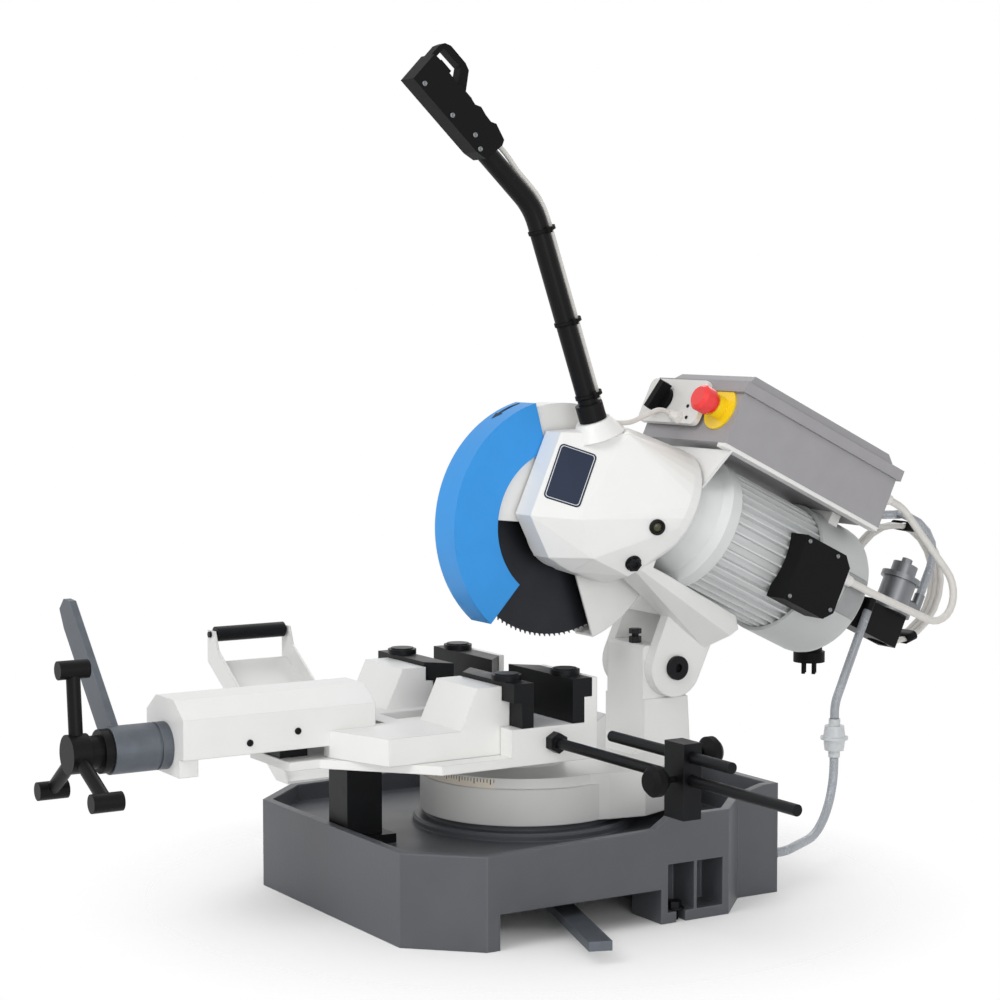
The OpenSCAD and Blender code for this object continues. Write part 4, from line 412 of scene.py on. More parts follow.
def base_enamel(colours):
    # Enamel brushed on a sand casting: dull, a little lumpy, with a painted highlight that pales its edges.
    base = colours.base_enamel
    material, tree, shader = new_finish("grey_enamel_on_casting", {"IOR": 1.5})
    place, _, tone = mottle(tree, shader, base, 55, 5.0, (0.84, 1.1), (0.34, 0.52))
    edge, highlight_share = edge_highlight(tree, 0.0035, 0.995, 0.9, 0.55)
    # painted highlight: the edges are mixed towards a grey twice as pale as the enamel
    highlighted = add(tree, "ShaderNodeMix", {"data_type": "RGBA", 7: shade(base, 2.0)}, {0: highlight_share, 6: tone})
    # the lumps of a sand mould
    skin = add(tree, "ShaderNodeTexNoise", {"Scale": per_mm(5), "Detail": 3.0}, {"Vector": place})
    bump = add(tree, "ShaderNodeBump", {"Strength": 0.3, "Distance": 0.0006},
               {"Height": skin.outputs[0], "Normal": edge})
    feed(tree, shader, {"Base Color": highlighted.outputs[2], "Normal": bump.outputs[0]})
    return material


def powder_coat(name, base, roughness, shine=0.5):
    # Powder coat baked on sheet steel, or a sprayed or printed paint like it: even colour with a fine
    # pebbled sheen.
    material, tree, shader = new_finish(name, {
        "Roughness": roughness, "IOR": 1.5, "Specular IOR Level": shine, "Coat Weight": 0.1 * shine,
        "Coat Roughness": 0.3})
    place, _, tone = mottle(tree, shader, base, 45, 3.0, (0.93, 1.05))
    # pebbles are about 0.5 mm, drawn at 2 mm so that they show
    pebble = add(tree, "ShaderNodeTexNoise", {"Scale": per_mm(2), "Detail": 2.0}, {"Vector": place})
    relief = soft_relief(tree, pebble.outputs[0], 0.2, 0.0003, 0.0012)
    feed(tree, shader, {"Base Color": tone, "Normal": relief})
    return material


def oxidised_steel(name, base, roughness, highlight_strength):
    # Steel blackened in a hot salt bath: dark satin metal, with a painted highlight that brightens its
    # edges.
    material, tree, shader = new_finish(name, {"Metallic": 0.75})
    place, _, tone = mottle(tree, shader, base, 18, 6.0, (0.75, 1.3), (roughness - 0.08, roughness + 0.1))
    edge, highlight_share = edge_highlight(tree, 0.0015, 0.99, 0.85, highlight_strength)
    # painted highlight: the edges are mixed towards a steel four times as pale
    highlighted = add(tree, "ShaderNodeMix", {"data_type": "RGBA", 7: shade(base, 4.0)}, {0: highlight_share, 6: tone})
    # grinding marks are finer than 0.2 mm, drawn at 1.5 mm so that they show
    marks = add(tree, "ShaderNodeTexNoise", {"Scale": per_mm(1.5), "Detail": 3.0}, {"Vector": place})
    bump = add(tree, "ShaderNodeBump", {"Strength": 0.12, "Distance": 0.0003},
               {"Height": marks.outputs[0], "Normal": edge})
    feed(tree, shader, {"Base Color": highlighted.outputs[2], "Normal": bump.outputs[0]})
    return material


def turned_metal(name, base, metallic, roughness):
    # Machined metal: fine tool lines that spread the highlight.
    material, tree, shader = new_finish(name, {"Metallic": metallic})
    place, _, tone = mottle(tree, shader, base, 12, 4.0, (0.85, 1.05), (roughness - 0.08, roughness + 0.08))
    # tool lines are about 0.2 mm apart, drawn at 1 mm so that they show
    lines = add(tree, "ShaderNodeTexNoise", {"Scale": per_mm(1), "Detail": 2.0}, {"Vector": place})
    relief = soft_relief(tree, lines.outputs[0], 0.1, 0.0002, 0.0008)
    feed(tree, shader, {"Base Color": tone, "Normal": relief})
    return material


def ground_blade(colours):
    # High-speed steel, steam-treated dark and ground in rings round its bore, bright at the teeth.
    material, tree, shader = new_finish("steam_treated_blade_steel", {"Metallic": 0.8})
    place, _, tone = mottle(tree, shader, colours.blade_steel, 40, 3.0, (0.8, 1.25))
    out = add(tree, "ShaderNodeVectorMath", {"operation": "SUBTRACT", 1: tuple(SPINDLE)}, {0: place})
    plane = add(tree, "ShaderNodeVectorMath", {"operation": "MULTIPLY", 1: (0.0, 1.0, 1.0)},
                {0: out.outputs[0]})
    radius = add(tree, "ShaderNodeVectorMath", {"operation": "LENGTH"}, {0: plane.outputs[0]})
    # grinding rings are about 0.1 mm apart, drawn at 2 mm so that they show
    rings = add(tree, "ShaderNodeTexNoise", {"noise_dimensions": "1D", "Scale": per_mm(2), "Detail": 3.0},
                {"W": radius.outputs["Value"]})
    tips = add(tree, "ShaderNodeMapRange", {"From Min": BRIGHT_FROM, "From Max": BRIGHT_FULL, "To Max": 0.5},
               {"Value": radius.outputs["Value"]})
    bright = add(tree, "ShaderNodeMix", {"data_type": "RGBA", 7: linear("#8A8C90") + (1.0,)},
                 {0: tips.outputs[0], 6: tone})
    sheen = add(tree, "ShaderNodeMapRange", {"To Min": 0.34, "To Max": 0.56}, {"Value": rings.outputs[0]})
    bump = add(tree, "ShaderNodeBump", {"Strength": 0.15, "Distance": 0.0002}, {"Height": rings.outputs[0]})
    feed(tree, shader, {"Base Color": bright.outputs[2], "Roughness": sheen.outputs[0],
                        "Normal": bump.outputs[0]})
    return material


def moulded_plastic(name, base, roughness, grain_mm, depth, shine=0.5):
    # Injection-moulded ABS with a spark-eroded grain: dull, even, with soft edges.
    material, tree, shader = new_finish(name, {"IOR": 1.53, "Specular IOR Level": shine})
    place, _, tone = mottle(tree, shader, base, 30, 3.0, (0.92, 1.06), (roughness - 0.05, roughness + 0.06))
    # such grain is finer than 0.5 mm, drawn at the size given so that it shows
    grain = add(tree, "ShaderNodeTexVoronoi", {"Scale": per_mm(grain_mm)}, {"Vector": place})
    relief = soft_relief(tree, grain.outputs[0], depth, 0.0003, 0.0014)
    feed(tree, shader, {"Base Color": tone, "Normal": relief})
    return material


def cable_sheath(colours):
    # Extruded PVC sheath: matte, faintly dusty and uneven.
    material, tree, shader = new_finish("extruded_pvc_sheath", {"IOR": 1.52, "Roughness": 0.5})
    _, dust, tone = mottle(tree, shader, colours.cable_sheath, 14, 4.0, (0.86, 1.05))
    bump = add(tree, "ShaderNodeBump", {"Strength": 0.1, "Distance": 0.0003}, {"Height": dust})
    feed(tree, shader, {"Base Color": tone, "Normal": bump.outputs[0]})
    return material


def clear_hose(name, base, clear, roughness):
    # Clear plasticised PVC or milky polypropylene with a film of coolant inside, or glass before oil.
    material, tree, shader = new_finish(name, {
        "IOR": 1.45, "Transmission Weight": clear, "Specular IOR Level": 0.5})
    _, _, tone = mottle(tree, shader, base, 20, 4.0, (0.8, 1.1), (roughness - 0.06, roughness + 0.1))
    feed(tree, shader, {"Base Color": tone})
    return material


def printed_scale(colours):
    # Anodised strip with printed divisions. Lines a degree apart are too fine to show, so they are drawn
    # every two degrees, with a longer one every ten.
    low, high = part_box("mitre_scale")
    material, tree, shader = new_finish("printed_scale_strip", {"Roughness": 0.42, "IOR": 1.5})
    place = add(tree, "ShaderNodeTexCoord").outputs["Object"]
    parts = add(tree, "ShaderNodeSeparateXYZ", None, {0: place})
    angle = add(tree, "ShaderNodeMath", {"operation": "ARCTAN2"}, {0: parts.outputs[0], 1: parts.outputs[1]})
    degrees = add(tree, "ShaderNodeMath", {"operation": "DEGREES"}, {0: angle.outputs[0]})
    height = add(tree, "ShaderNodeMapRange", {"From Min": low.z, "From Max": high.z},
                 {"Value": parts.outputs[2]})
    inks = []
    # line spacing and half width in degrees, and the share of the strip's height that it starts from
    for step, half, start in ((2.0, 0.22, 0.62), (10.0, 0.3, 0.42)):
        away = add(tree, "ShaderNodeMath", {"operation": "PINGPONG", 1: step / 2}, {0: degrees.outputs[0]})
        line = add(tree, "ShaderNodeMath", {"operation": "LESS_THAN", 1: half}, {0: away.outputs[0]})
        above = add(tree, "ShaderNodeMath", {"operation": "GREATER_THAN", 1: start}, {0: height.outputs[0]})
        ink = add(tree, "ShaderNodeMath", {"operation": "MULTIPLY"},
                  {0: line.outputs[0], 1: above.outputs[0]})
        inks.append(ink.outputs[0])
    ink = add(tree, "ShaderNodeMath", {"operation": "MAXIMUM"}, {0: inks[0], 1: inks[1]})
    tone = add(tree, "ShaderNodeMix",
               {"data_type": "RGBA", 6: shade(colours.scale_strip, 1.0), 7: linear("#2A2524") + (1.0,)},
               {0: ink.outputs[0]})
    feed(tree, shader, {"Base Color": tone.outputs[2]})
    return material


FINISHES = {}


def make_finishes():
    """Makes one material for each material slot of the record, and those of the small fittings."""
    colours = bpy.context.scene.cold_saw_colours
    FINISHES.update({
        "cast_grey": base_enamel(colours),
        "white_paint": white_enamel(colours),
        "blue_paint": powder_coat("blue_powder_coat", colours.guard_coat, 0.44, 0.3),
        "grey_paint": powder_coat("grey_sprayed_paint", colours.cover_paint, 0.42),
        "black_paint": powder_coat("black_satin_paint", colours.black_plastic, 0.42, 0.12),
        "black_steel": oxidised_steel("blackened_steel", colours.dark_steel, 0.42, 0.25),
        "lever_steel": oxidised_steel("grey_oxidised_steel", colours.lever_steel, 0.48, 0.1),
        "blade_steel": ground_blade(colours),
        "bright_steel": turned_metal("turned_bright_steel", linear("#818386"), 0.9, 0.38),
        "aluminium": powder_coat("painted_cast_aluminium", colours.motor_paint, 0.5),
        "bronze": turned_metal("machined_bronze", linear("#B08A4A"), 1.0, 0.36),
        "scale_strip": printed_scale(colours),
        "grey_plastic": moulded_plastic("grained_grey_abs", colours.box_plastic, 0.46, 2.2, 0.12),
        "white_plastic": moulded_plastic("smooth_white_abs", linear("#E3E2DF"), 0.36, 3.0, 0.03),
        "black_plastic": moulded_plastic("grained_black_abs", colours.black_plastic, 0.55, 1.8, 0.16, 0.09),
        "yellow_plastic": moulded_plastic("gloss_yellow_abs", colours.safety_yellow, 0.26, 4.0, 0.02),
        "red_plastic": moulded_plastic("gloss_red_abs", colours.safety_red, 0.24, 4.0, 0.02),
        "clear_plastic": clear_hose("milky_polypropylene", linear("#E4E7E9"), 0.25, 0.3),
        "cable": cable_sheath(colours),
        "oil_glass": clear_hose("oil_behind_glass", linear("#4B4A30"), 0.2, 0.16),
        "badge": powder_coat("navy_printed_plate", colours.badge_field, 0.34, 0.3),
        "bare_plate": turned_metal("anodised_bare_plate", linear("#9C9D9E"), 0.35, 0.46),
        "badge_line": powder_coat("pale_printed_line", linear("#D9DCE0"), 0.4),
        "hose": clear_hose("smoky_clear_pvc", colours.hose_tint, 0.35, 0.24),
    })


class COLDSAW_OT_finishes(bpy.types.Operator):
    """Gives every CAD node the finish of its material slot"""

    bl_idname = "coldsaw.finishes"
    bl_label = "Finishes"

    def execute(self, context):
        make_finishes()
        for part in frame["record"]["subparts"]:
            mesh = NODES[part["node"]].data
            mesh.materials.clear()
            mesh.materials.append(FINISHES[part["material_slot"]])
        return {"FINISHED"}


def link(name, data):
    """Adds an object for new data to the scene."""
    piece = bpy.data.objects.new(name, data)
    bpy.context.scene.collection.objects.link(piece)
    return piece


def seat(piece, body, slot, material=None):
    """Gives a new piece its finish and lets it ride on a body."""
    piece.data.materials.append(material or FINISHES[slot])
    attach(piece, body)
    return piece


def built(name, mesh, place=Matrix.Identity(4)):
    """Turns built geometry into a piece at a place."""
    bmesh.ops.recalc_face_normals(mesh, faces=mesh.faces)
    data = bpy.data.meshes.new(name)
    mesh.to_mesh(data)
    mesh.free()
    data.transform(place)
    return link(name, data)


def finish_mesh(name, mesh, place, body, slot, material=None):
    """Turns built geometry into a finished piece at a place, riding on a body."""
    return seat(built(name, mesh, place), body, slot, material)


def bridge(mesh, loops):
    """Faces between loops of vertices, each loop joined to the next."""
    for a, b in zip(loops, loops[1:]):
        for k in range(len(a)):
            n = (k + 1) % len(a)
            mesh.faces.new((a[k], a[n], b[n], b[k])).smooth = True


def points_of(*places):
    """Route points as vectors."""
    return [Vector(place) for place in places]


def bent_route(corners, radii, steps):
    """A route through its corner points, each rounded by an arc of its own radius."""
    out = [corners[0]]
    for a, b, c, radius in zip(corners, corners[1:], corners[2:], radii):
        u, v = (a - b).normalized(), (c - b).normalized()
        half = u.angle(v) / 2
        turn = math.pi - 2 * half
        middle = b + (u + v).normalized() * radius / math.sin(half)
        first = b + u * radius / math.tan(half) - middle
        last = b + v * radius / math.tan(half) - middle
        for k in range(steps + 1):
            f = k / steps
            arm = first * math.sin((1 - f) * turn) + last * math.sin(f * turn)
            out.append(middle + arm / math.sin(turn))
    return out + [corners[-1]]


def even_route(points, step):
    """The same route with points no further apart than a step."""
    out = [points[0]]
    for a, b in zip(points, points[1:]):
        count = max(1, math.ceil((b - a).length / step))
        out += [a + (b - a) * k / count for k in range(1, count + 1)]
    return out


def cable(name, points, diameter):
    """A round cable as one open curve through its points."""
    data = bpy.data.curves.new(name, "CURVE")
    data.dimensions = "3D"
    data.bevel_depth = diameter / 2
    data.bevel_resolution = 5
    data.use_fill_caps = True
    spline = data.splines.new("POLY")
    spline.points.add(len(points) - 1)
    for point, place in zip(spline.points, points):
        point.co = (*place, 1.0)
    spline.use_smooth = True
    return link(name, data)


def hose_mesh(name, points, diameter, sides=20):
    """A round hose as a mesh tube along its points."""
    mesh = bmesh.new()
    rings = []
    for i, place in enumerate(points):
        along = (points[min(i + 1, len(points) - 1)] - points[max(i - 1, 0)]).normalized()
        u = along.cross(NEAR_SIDE).normalized()
        v = along.cross(u)
        rings.append([mesh.verts.new(place + diameter / 2 * (math.cos(a) * u + math.sin(a) * v))
                      for a in (2 * math.pi * k / sides for k in range(sides))])
    bridge(mesh, rings)
    mesh.faces.new(rings[0][::-1])
    mesh.faces.new(rings[-1])
    return built(name, mesh)


class COLDSAW_OT_cables(bpy.types.Operator):
    """Lays the control, motor and supply cables"""

    bl_idname = "coldsaw.cables"
    bl_label = "Cables"

    def execute(self, context):
        sizes = context.scene.cold_saw_sizes
        self.control(sizes)
        self.motor(sizes)
        self.supply(sizes)
        return {"FINISHED"}

    def lay(self, name, node, points, diameter, far_end, lay, with_pieces=()):
        piece = seat(cable(name, points, diameter), "head", "cable")
        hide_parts(node)

    def control(self, sizes):
        off = LEVER_RADIUS + sizes.control_cable / 2 + CABLE_CLEAR
        corners = [bent_point(CONTROL_START_OFF, BEND_ANGLE, CONTROL_START),
                   bent_point(CONTROL_START_OFF, BEND_ANGLE, CONTROL_IN_FROM),
                   bent_point(off, BEND_ANGLE, CONTROL_IN_TO),
                   lever_point(off, BEND_START + (BEND_RADIUS + off) * math.tan(BEND_ANGLE / 2))]
        corners += points_of(*CONTROL_CORNERS)
        corners += [gland_point(PLATE_GLAND, -CONTROL_BEFORE_PLATE), gland_point(PLATE_GLAND, -GLAND_SEAT)]
        radii = (*CONTROL_UPPER_RADII, BEND_RADIUS + off, *CONTROL_LOWER_RADII)
        self.lay("control_lead", "control_cable", bent_route(corners, radii, 5), sizes.control_cable,
                 "object", "taut")

    def motor(self, sizes):
        corners = [gland_point(TERMINAL_GLAND, GLAND_SEAT), gland_point(TERMINAL_GLAND, MOTOR_FROM_TERMINAL),
                   Vector(MOTOR_CORNER),
                   gland_point(BOX_MOTOR_GLAND, MOTOR_FROM_BOX), gland_point(BOX_MOTOR_GLAND, GLAND_SEAT)]
        self.lay("motor_lead", "motor_cable", bent_route(corners, MOTOR_RADII, 11), sizes.motor_cable,
                 "object", "hanging")

    def supply(self, sizes):
        corners = [gland_point(BOX_SUPPLY_GLAND, GLAND_SEAT), gland_point(BOX_SUPPLY_GLAND, SUPPLY_FROM_BOX),
                   Vector(SUPPLY_CORNER), coil_point(0.0, sizes)]
        points = bent_route(corners, SUPPLY_RADII, 8)
        count = int(COIL_TURNS * COIL_POINTS)
        points += [coil_point(i / COIL_POINTS, sizes) for i in range(1, count + 1)]
        # the tail turns over on itself and hangs down to the plug
        last = points[-1]
        for k in range(TAIL_POINTS + 1):
            a = math.pi * k / TAIL_POINTS
            points.append(last + Vector((-TAIL_RADIUS * (1 - math.cos(a)), 0.0,
                                         TAIL_DROP + TAIL_RADIUS * math.sin(a))))
        points.append(last - Vector((2 * TAIL_RADIUS, 0.0, TAIL_DROP)))
        self.lay("supply_lead", "supply_cable", points, sizes.supply_cable, "plug", "coiled",
                 [NODES["supply_plug"]])


class COLDSAW_OT_hoses(bpy.types.Operator):
    """Lays the coolant hoses, two of them as mesh tubes with evenly spaced points"""

    bl_idname = "coldsaw.hoses"
    bl_label = "Coolant hoses"

    def execute(self, context):
        size = context.scene.cold_saw_sizes.hose
        path = bent_route(points_of(*DELIVERY_CORNERS), DELIVERY_RADII, 6)
        piece = seat(cable("delivery_line", path, size), "head", "hose")
        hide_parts("delivery_hose")
        self.bending("suction_line", "suction_hose", SUCTION_CORNERS, SUCTION_RADII, size, "head", "turret")
        self.bending("return_line", "return_hose", RETURN_CORNERS, RETURN_RADII, size, "turret", "stand")
        return {"FINISHED"}

    def bending(self, name, node, corners, radii, size, first, last):
        path = even_route(bent_route(points_of(*corners), radii, 12), HOSE_STEP)
        piece = hose_mesh(name, path, size)
        piece.data.materials.append(FINISHES["hose"])
        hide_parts(node)
        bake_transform(piece)


def turned(profile, steps=40):
    """A solid of revolution about Z from radius and height pairs, closed on its axis."""
    mesh = bmesh.new()
    rings = []
    for radius, height in profile:
        if radius == 0.0:
            rings.append([mesh.verts.new((0.0, 0.0, height))])
        else:
            rings.append([mesh.verts.new((radius * math.cos(a), radius * math.sin(a), height))
                          for a in (2 * math.pi * k / steps for k in range(steps))])
    for a, b in zip(rings, rings[1:]):
        for k in range(steps):
            n = (k + 1) % steps
            corners = [a[k % len(a)], a[n % len(a)], b[n % len(b)], b[k % len(b)]]
            mesh.faces.new(list(dict.fromkeys(corners))).smooth = True
    return mesh


def rounded(half_w, half_h, corner, steps=8, parts=1):
    """Points round a rectangle with rounded corners, each straight side in so many parts."""
    signs = ((1, 1), (-1, 1), (-1, -1), (1, -1))
    middles = [(sx * (half_w - corner), sy * (half_h - corner)) for sx, sy in signs]
    points = []
    for k, (x, y) in enumerate(middles):
        for i in range(steps + 1):
            a = math.pi / 2 * (k + i / steps)
            points.append((x + corner * math.cos(a), y + corner * math.sin(a)))
        # the straight side runs on to the next corner
        next_x, next_y = middles[(k + 1) % len(middles)]
        px, py = points[-1]
        points += [(px + (next_x - x) * i / parts, py + (next_y - y) * i / parts) for i in range(1, parts)]
    return points


def oval_band(half_w, half_h, width, thickness):
    """A flat band round an oval bundle: X and Y across it, Z along the band's width."""
    corner = min(half_w, half_h)
    edges = ((0.0, -width / 2), (thickness, -width / 2), (thickness, width / 2), (0.0, width / 2))
    mesh = bmesh.new()
    loops = [[mesh.verts.new((x, y, z)) for x, y in rounded(half_w + grow, half_h + grow, corner + grow)]
             for grow, z in edges]
    bridge(mesh, loops + loops[:1])
    return mesh


def facing(place, along, up=Vector((0.0, 0.0, 1.0))):
    """A frame at a place whose Z runs along a direction and whose Y leans to an up direction."""
    z = along.normalized()
    x = up.cross(z)
    x = x.normalized() if x.length > 1e-6 else NEAR_SIDE
    y = z.cross(x)
    turn = Matrix((x, y, z)).transposed().to_4x4()
    return Matrix.Translation(place) @ turn


def surface_of(node):
    """The surface of a CAD node, as a tree that can be searched."""
    data = NODES[node].data
    return BVHTree.FromPolygons([v.co for v in data.vertices], [p.vertices for p in data.polygons])


class COLDSAW_OT_bindings(bpy.types.Operator):
    """Puts cable ties on the lever and tape on the hanging coil"""

    bl_idname = "coldsaw.bindings"
    bl_label = "Ties and tape"

    def execute(self, context):
        sizes = context.scene.cold_saw_sizes
        for name, height in TIES.items():
            self.tie(name, height, sizes)
        for name, angle in TAPES.items():
            self.tape(name, math.radians(angle), sizes)
        return {"FINISHED"}

    def tie(self, name, height, sizes):
        along = lever_point(0.0, 1.0) - lever_point(0.0, 0.0)
        side = lever_point(1.0, 0.0) - lever_point(0.0, 0.0)
        half = (sizes.control_cable + TIE_SLACK) / 2
        band = oval_band(LEVER_RADIUS + CABLE_CLEAR, LEVER_RADIUS + half + CABLE_CLEAR, sizes.tie_width,
                         TIE_THICK)
        head = bmesh.ops.create_cube(band, size=1.0)["verts"]
        bmesh.ops.scale(band, vec=(TIE_HEAD_DEPTH, TIE_HEAD_LENGTH, sizes.tie_width * TIE_HEAD_WIDTH_SHARE),
                        verts=head)
        bmesh.ops.translate(band, vec=(LEVER_RADIUS + TIE_HEAD_OFF, 0.0, 0.0), verts=head)
        finish_mesh(name, band, facing(lever_point(half, height), along, side), "head", "black_plastic")

    def tape(self, name, angle, sizes):
        half = sizes.supply_cable / 2
        band = oval_band(COIL_STEP + half + TAPE_SIDE_SLACK, half + TAPE_SLACK, sizes.tape_width, TAPE_THICK)
        # the middle one of the coil's turns
        middle = coil_point(1.0 + (math.pi / 2 - angle) / (2 * math.pi), sizes)
        out = Vector((0.0, math.cos(angle), math.sin(angle)))
        place = facing(middle, Vector((0.0, -out.z, out.y)), out)
        finish_mesh(name, band, place, "head", "black_plastic")


class COLDSAW_OT_gearbox_fittings(bpy.types.Operator):
    """Puts the sight glass and the drain plug on the gearbox"""

    bl_idname = "coldsaw.gearbox_fittings"
    bl_label = "Gearbox fittings"

    def execute(self, context):
        sizes = context.scene.cold_saw_sizes
        self.sight_glass(sizes.sight_glass / 2)
        self.drain_plug(sizes.drain_plug / 2)
        return {"FINISHED"}

    def profile(self, table, r):
        return [(share * r, height) for share, height in table]

    def sight_glass(self, r):
        place = facing(*SIGHT_GLASS)
        finish_mesh("sight_glass_ring", turned(self.profile(GLASS_RING, r)), place, "head", "black_steel")
        finish_mesh("sight_glass_lens", turned(self.profile(GLASS_LENS, r)), place, "head", "clear_plastic",
                    FINISHES["oil_glass"])

    def drain_plug(self, r):
        place = facing(*DRAIN_PLUG)
        finish_mesh("drain_plug_washer", turned(self.profile(PLUG_WASHER, r)), place, "head", "black_steel")
        hexagon = turned(self.profile(PLUG_HEXAGON, r), 6)
        for polygon in hexagon.faces:
            polygon.smooth = False
        finish_mesh("drain_plug_hexagon", hexagon, place, "head", "black_steel")


def sheet_rows(half_w, half_h, corner, above, count=8):
    """Rows of a whole plate: an edge that dips into the surface, then rows that shrink to its middle."""
    rows = [(1.0, -SHEET_SUNK)] + [(1 - k / count, above) for k in range(count)]
    return [(rounded(half_w * share, half_h * share, corner * share, *SHEET_STEPS), high)
            for share, high in rows]


def line_rows(half_w, half_h, corner, width, low, high):
    """Rows of a raised line round a plate."""
    outer = rounded(half_w, half_h, corner)
    inner = rounded(half_w - width, half_h - width, corner - width / 2)
    return [(outer, low), (outer, high), (inner, high), (inner, low)]


def arrow_rows(length, half_w, above, count=6):
    """Rows of a plain arrow along X: a shaft and a head."""
    neck, shaft = ARROW_NECK_SHARE * length, ARROW_SHAFT_SHARE * half_w
    steps = [neck - (neck + length / 2) * k / count for k in range(count + 1)]
    outline = [(length / 2, 0.0), (neck, half_w)] + [(x, shaft) for x in steps]
    outline += [(x, -shaft) for x in reversed(steps)] + [(neck, -half_w)]
    return [(outline, -SKIN), (outline, above)]


class COLDSAW_OT_plates(bpy.types.Operator):
    """Lays the bare plates, the arrow and the nose's skins on the surfaces below them"""

    bl_idname = "coldsaw.plates"
    bl_label = "Plates"

    def execute(self, context):
        self.plate("badge_plate", "gearbox_housing", BADGE, sheet_rows(*BADGE_SHEET), "black_paint",
                   FINISHES["badge"])
        self.plate("badge_line", "gearbox_housing", BADGE, line_rows(*BADGE_LINE), "white_paint",
                   FINISHES["badge_line"], closed=False)
        self.plate("cover_plate", "fan_cover", COVER_PLATE, sheet_rows(*COVER_SHEET), "bright_steel",
                   FINISHES["bare_plate"])
        self.plate("turning_arrow", "swing_guard", GUARD_ARROW, arrow_rows(*ARROW_SIZE), "black_paint",
                   body="guard")
        for name, spot in NOSE_FACETS.items():
            self.facet_skin(name, "gearbox_housing", spot, "white_paint")
        return {"FINISHED"}

    def plate(self, name, node, frame_at, rows, slot, material=None, closed=True, body="head"):
        # each row's points drop onto the node's surface and rise from there
        surface = surface_of(node)
        middle, across, up = frame_at
        out = across.cross(up).normalized()
        mesh = bmesh.new()
        loops = []
        for outline, above in rows:
            points = [middle + x * across + y * up for x, y in outline]
            landed = [surface.ray_cast(point + DROP_FROM * out, -out)[0] or point for point in points]
            loops.append([mesh.verts.new(point + above * out) for point in landed])
        bridge(mesh, loops)
        if closed:
            mesh.faces.new(loops[-1])
        finish_mesh(name, mesh, Matrix.Identity(4), body, slot, material)

    def facet_skin(self, name, node, spot, slot):
        # the skin's outline goes round the corners of the flat facet at the spot
        data = NODES[node].data
        place, out = surface_of(node).find_nearest(spot)[:2]
        at = facing(place, out)
        back = at.inverted()
        facet = [p for p in data.polygons
                 if p.normal.dot(out) > FACET_COSINE and abs((p.center - place).dot(out)) < FACET_GAP]
        corners = {i for p in facet for i in p.vertices}
        flat = [(back @ data.vertices[i].co).to_2d() for i in corners]
        outline = [flat[i] for i in convex_hull_2d(flat)]
        mesh = bmesh.new()
        loops = [[mesh.verts.new((x, y, height)) for x, y in outline] for height in (-SKIN, SKIN)]
        bridge(mesh, loops)
        mesh.faces.new(loops[-1])
        for polygon in mesh.faces:
            polygon.smooth = False
        finish_mesh(name, mesh, at, "head", slot)


class COLDSAW_OT_screws(bpy.types.Operator):
    """Puts the small screws on terminal box, handle, vise arm and switch plate"""

    bl_idname = "coldsaw.screws"
    bl_label = "Screws"

    def execute(self, context):
        front = HEAD.to_3x3() @ Vector((0.0, -1.0, 0.0))
        self.row("terminal", [head_point(TERMINAL_FACE, *spot) for spot in TERMINAL_SCREWS], NEAR_SIDE,
                 "bright_steel")
        self.row("grip", [Vector((GRIP_FACE, *spot)) for spot in GRIP_SCREWS], NEAR_SIDE, "bright_steel")
        self.row("arm", [Vector((ARM_FACE, *spot)) for spot in ARM_SCREWS], NEAR_SIDE, "black_steel",
                 "vise_slide")
        self.row("plate", [head_point(x, PLATE_FACE, s) for x, s in PLATE_SCREWS], front, "black_steel")
        return {"FINISHED"}

    def row(self, kind, places, out, slot, body="head"):
        r = SCREW_RADII[kind]
        profile = [(0.0, -SCREW_SUNK), (r, -SCREW_SUNK)] + [(a * r, b * r) for a, b in SCREW_SHARES]
        for number, place in enumerate(places, 1):
            head = turned(profile, SCREW_STEPS)
            finish_mesh(f"{kind}_screw_{number}", head, facing(place, out), body, slot)


def shown_rays(tree):
    """One for a ray from the camera, a reflection or a clear piece, and nothing for other rays."""
    path = add(tree, "ShaderNodeLightPath")
    seen = add(tree, "ShaderNodeMath", {"operation": "MAXIMUM"},
               {0: path.outputs["Is Camera Ray"], 1: path.outputs["Is Glossy Ray"]})
    shown = add(tree, "ShaderNodeMath", {"operation": "MAXIMUM"},
                {0: seen.outputs[0], 1: path.outputs["Is Transmission Ray"]})
    return shown.outputs[0]


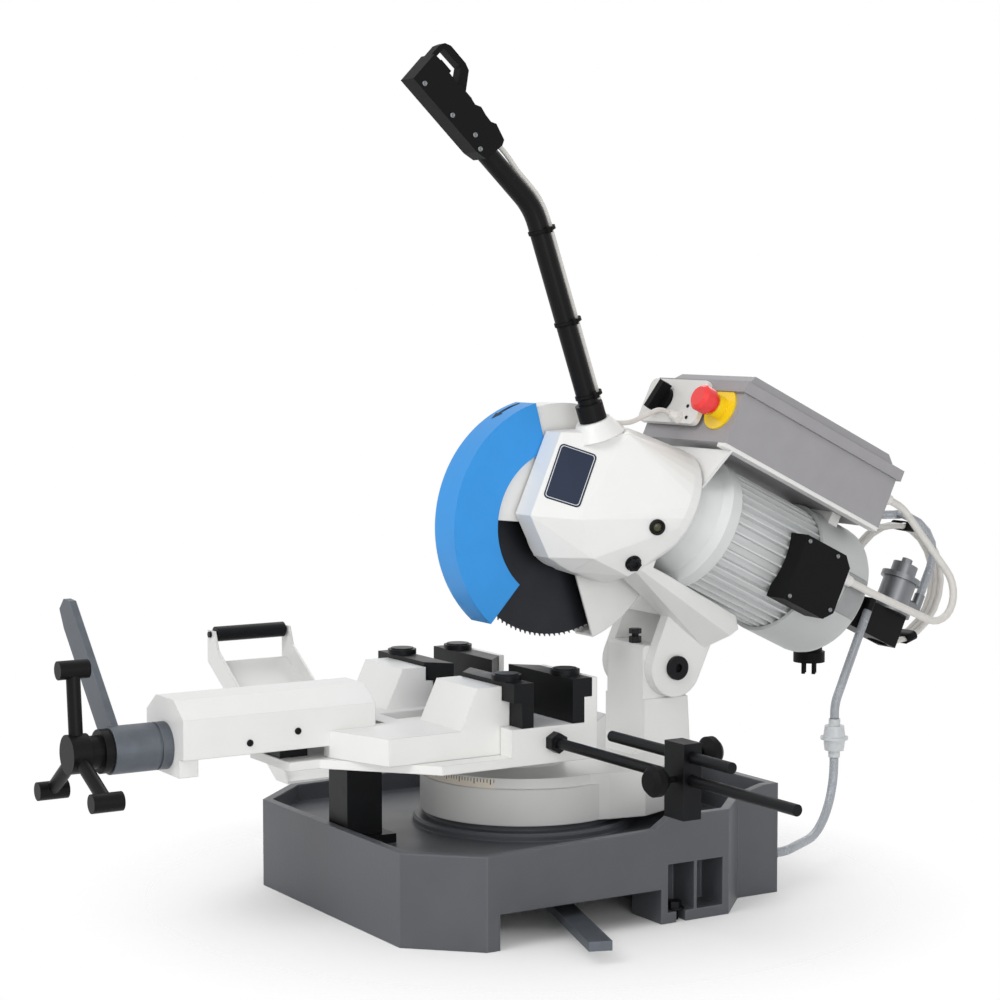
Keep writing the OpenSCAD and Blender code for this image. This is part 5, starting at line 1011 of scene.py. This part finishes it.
class COLDSAW_OT_stage(bpy.types.Operator):
    """Makes the floor, the room light, the lamps and the camera"""

    bl_idname = "coldsaw.stage"
    bl_label = "Stage"

    def execute(self, context):
        stage = context.scene.cold_saw_stage
        self.floor()
        self.room(context.scene, stage)
        self.lamp("key_lamp", stage.key_power)
        self.lamp("fill_lamp", stage.fill_power)
        self.lamp("rear_lamp", stage.fill_power)
        self.camera(context.scene, stage)
        context.scene.view_settings.view_transform = "Standard"
        return {"FINISHED"}

    def floor(self):
        # Matte white studio floor: it takes the soft shadow under the base.
        material, tree, shader = new_finish("matte_white_floor", {
            "Base Color": linear("#FBFBFB") + (1.0,), "Roughness": 0.9, "Specular IOR Level": 0.1})
        # further out it gives way to the white room for what the camera sees, so that no horizon shows
        place = add(tree, "ShaderNodeNewGeometry").outputs["Position"]
        away = add(tree, "ShaderNodeVectorMath", {"operation": "LENGTH"}, {0: place})
        far = add(tree, "ShaderNodeMapRange", {"From Min": FLOOR_FADES, "From Max": FLOOR_GONE},
                  {"Value": away.outputs["Value"]})
        share = add(tree, "ShaderNodeMath", {"operation": "MULTIPLY"},
                    {0: far.outputs[0], 1: shown_rays(tree)})
        clear = add(tree, "ShaderNodeBsdfTransparent")
        both = add(tree, "ShaderNodeMixShader", None,
                   {0: share.outputs[0], 1: shader.outputs[0], 2: clear.outputs[0]})
        feed(tree, tree.nodes["Material Output"], {"Surface": both.outputs[0]})
        mesh = bmesh.new()
        bmesh.ops.create_grid(mesh, x_segments=1, y_segments=1, size=FLOOR_HALF)
        data = bpy.data.meshes.new("floor")
        mesh.to_mesh(data)
        mesh.free()
        data.materials.append(material)
        floor = link("floor", data)
        floor.location.z = -FLOOR_DROP

    def room(self, scene, stage):
        world = bpy.data.worlds.new("studio_room")
        scene.world = world
        world.use_nodes = True
        tree = world.node_tree
        tree.nodes.clear()
        level = add(tree, "ShaderNodeMapRange", {"To Min": stage.room_light, "To Max": 1.0},
                    {"Value": shown_rays(tree)})
        light = add(tree, "ShaderNodeBackground", {"Color": (1.0, 1.0, 1.0, 1.0)},
                    {"Strength": level.outputs[0]})
        add(tree, "ShaderNodeOutputWorld", None, {"Surface": light.outputs[0]})

    def lamp(self, name, power):
        place, size = LAMPS[name]
        data = bpy.data.lights.new(name, "AREA")
        data.energy = power
        data.size = size
        lamp = link(name, data)
        lamp.location = place
        lamp.rotation_euler = (LAMP_AIM - Vector(place)).to_track_quat("-Z", "Y").to_euler()

    def camera(self, scene, stage):
        data = bpy.data.cameras.new("camera")
        data.lens = stage.lens
        data.sensor_width = SENSOR_MM
        data.clip_end = CLIP_END
        eye = link("camera", data)
        eye.location = stage.camera_place
        eye.rotation_euler = stage.camera_turn
        scene.camera = eye


class COLDSAW_PT_panel(bpy.types.Panel):
    """Lists the steps that dress the saw"""

    bl_idname = "COLDSAW_PT_panel"
    bl_label = "Cold saw"
    bl_space_type = "VIEW_3D"
    bl_region_type = "UI"
    bl_category = "Cold saw"

    def draw(self, context):
        for step in STEPS:
            self.layout.operator(step.bl_idname)


SETTINGS = {"cold_saw_colours": ColdSawColours, "cold_saw_sizes": ColdSawSizes,
            "cold_saw_stage": ColdSawStage}
STEPS = (COLDSAW_OT_finishes, COLDSAW_OT_cables, COLDSAW_OT_hoses, COLDSAW_OT_bindings,
         COLDSAW_OT_gearbox_fittings, COLDSAW_OT_plates, COLDSAW_OT_screws, COLDSAW_OT_stage)


def register():
    """Registers the settings, the steps and the panel."""
    for name, group in SETTINGS.items():
        bpy.utils.register_class(group)
        setattr(bpy.types.Scene, name, bpy.props.PointerProperty(type=group))
    for step in STEPS:
        bpy.utils.register_class(step)
    bpy.utils.register_class(COLDSAW_PT_panel)


def unregister():
    """Takes the panel, the steps and the settings away again."""
    bpy.utils.unregister_class(COLDSAW_PT_panel)
    for step in reversed(STEPS):
        bpy.utils.unregister_class(step)
    for name, group in SETTINGS.items():
        delattr(bpy.types.Scene, name)
        bpy.utils.unregister_class(group)


def main():
    register()
    bpy.ops.coldsaw.finishes()
    bpy.ops.coldsaw.cables()
    bpy.ops.coldsaw.hoses()
    bpy.ops.coldsaw.bindings()
    bpy.ops.coldsaw.gearbox_fittings()
    bpy.ops.coldsaw.plates()
    bpy.ops.coldsaw.screws()
    bpy.ops.coldsaw.stage()


if __name__ == "__main__":
    main()
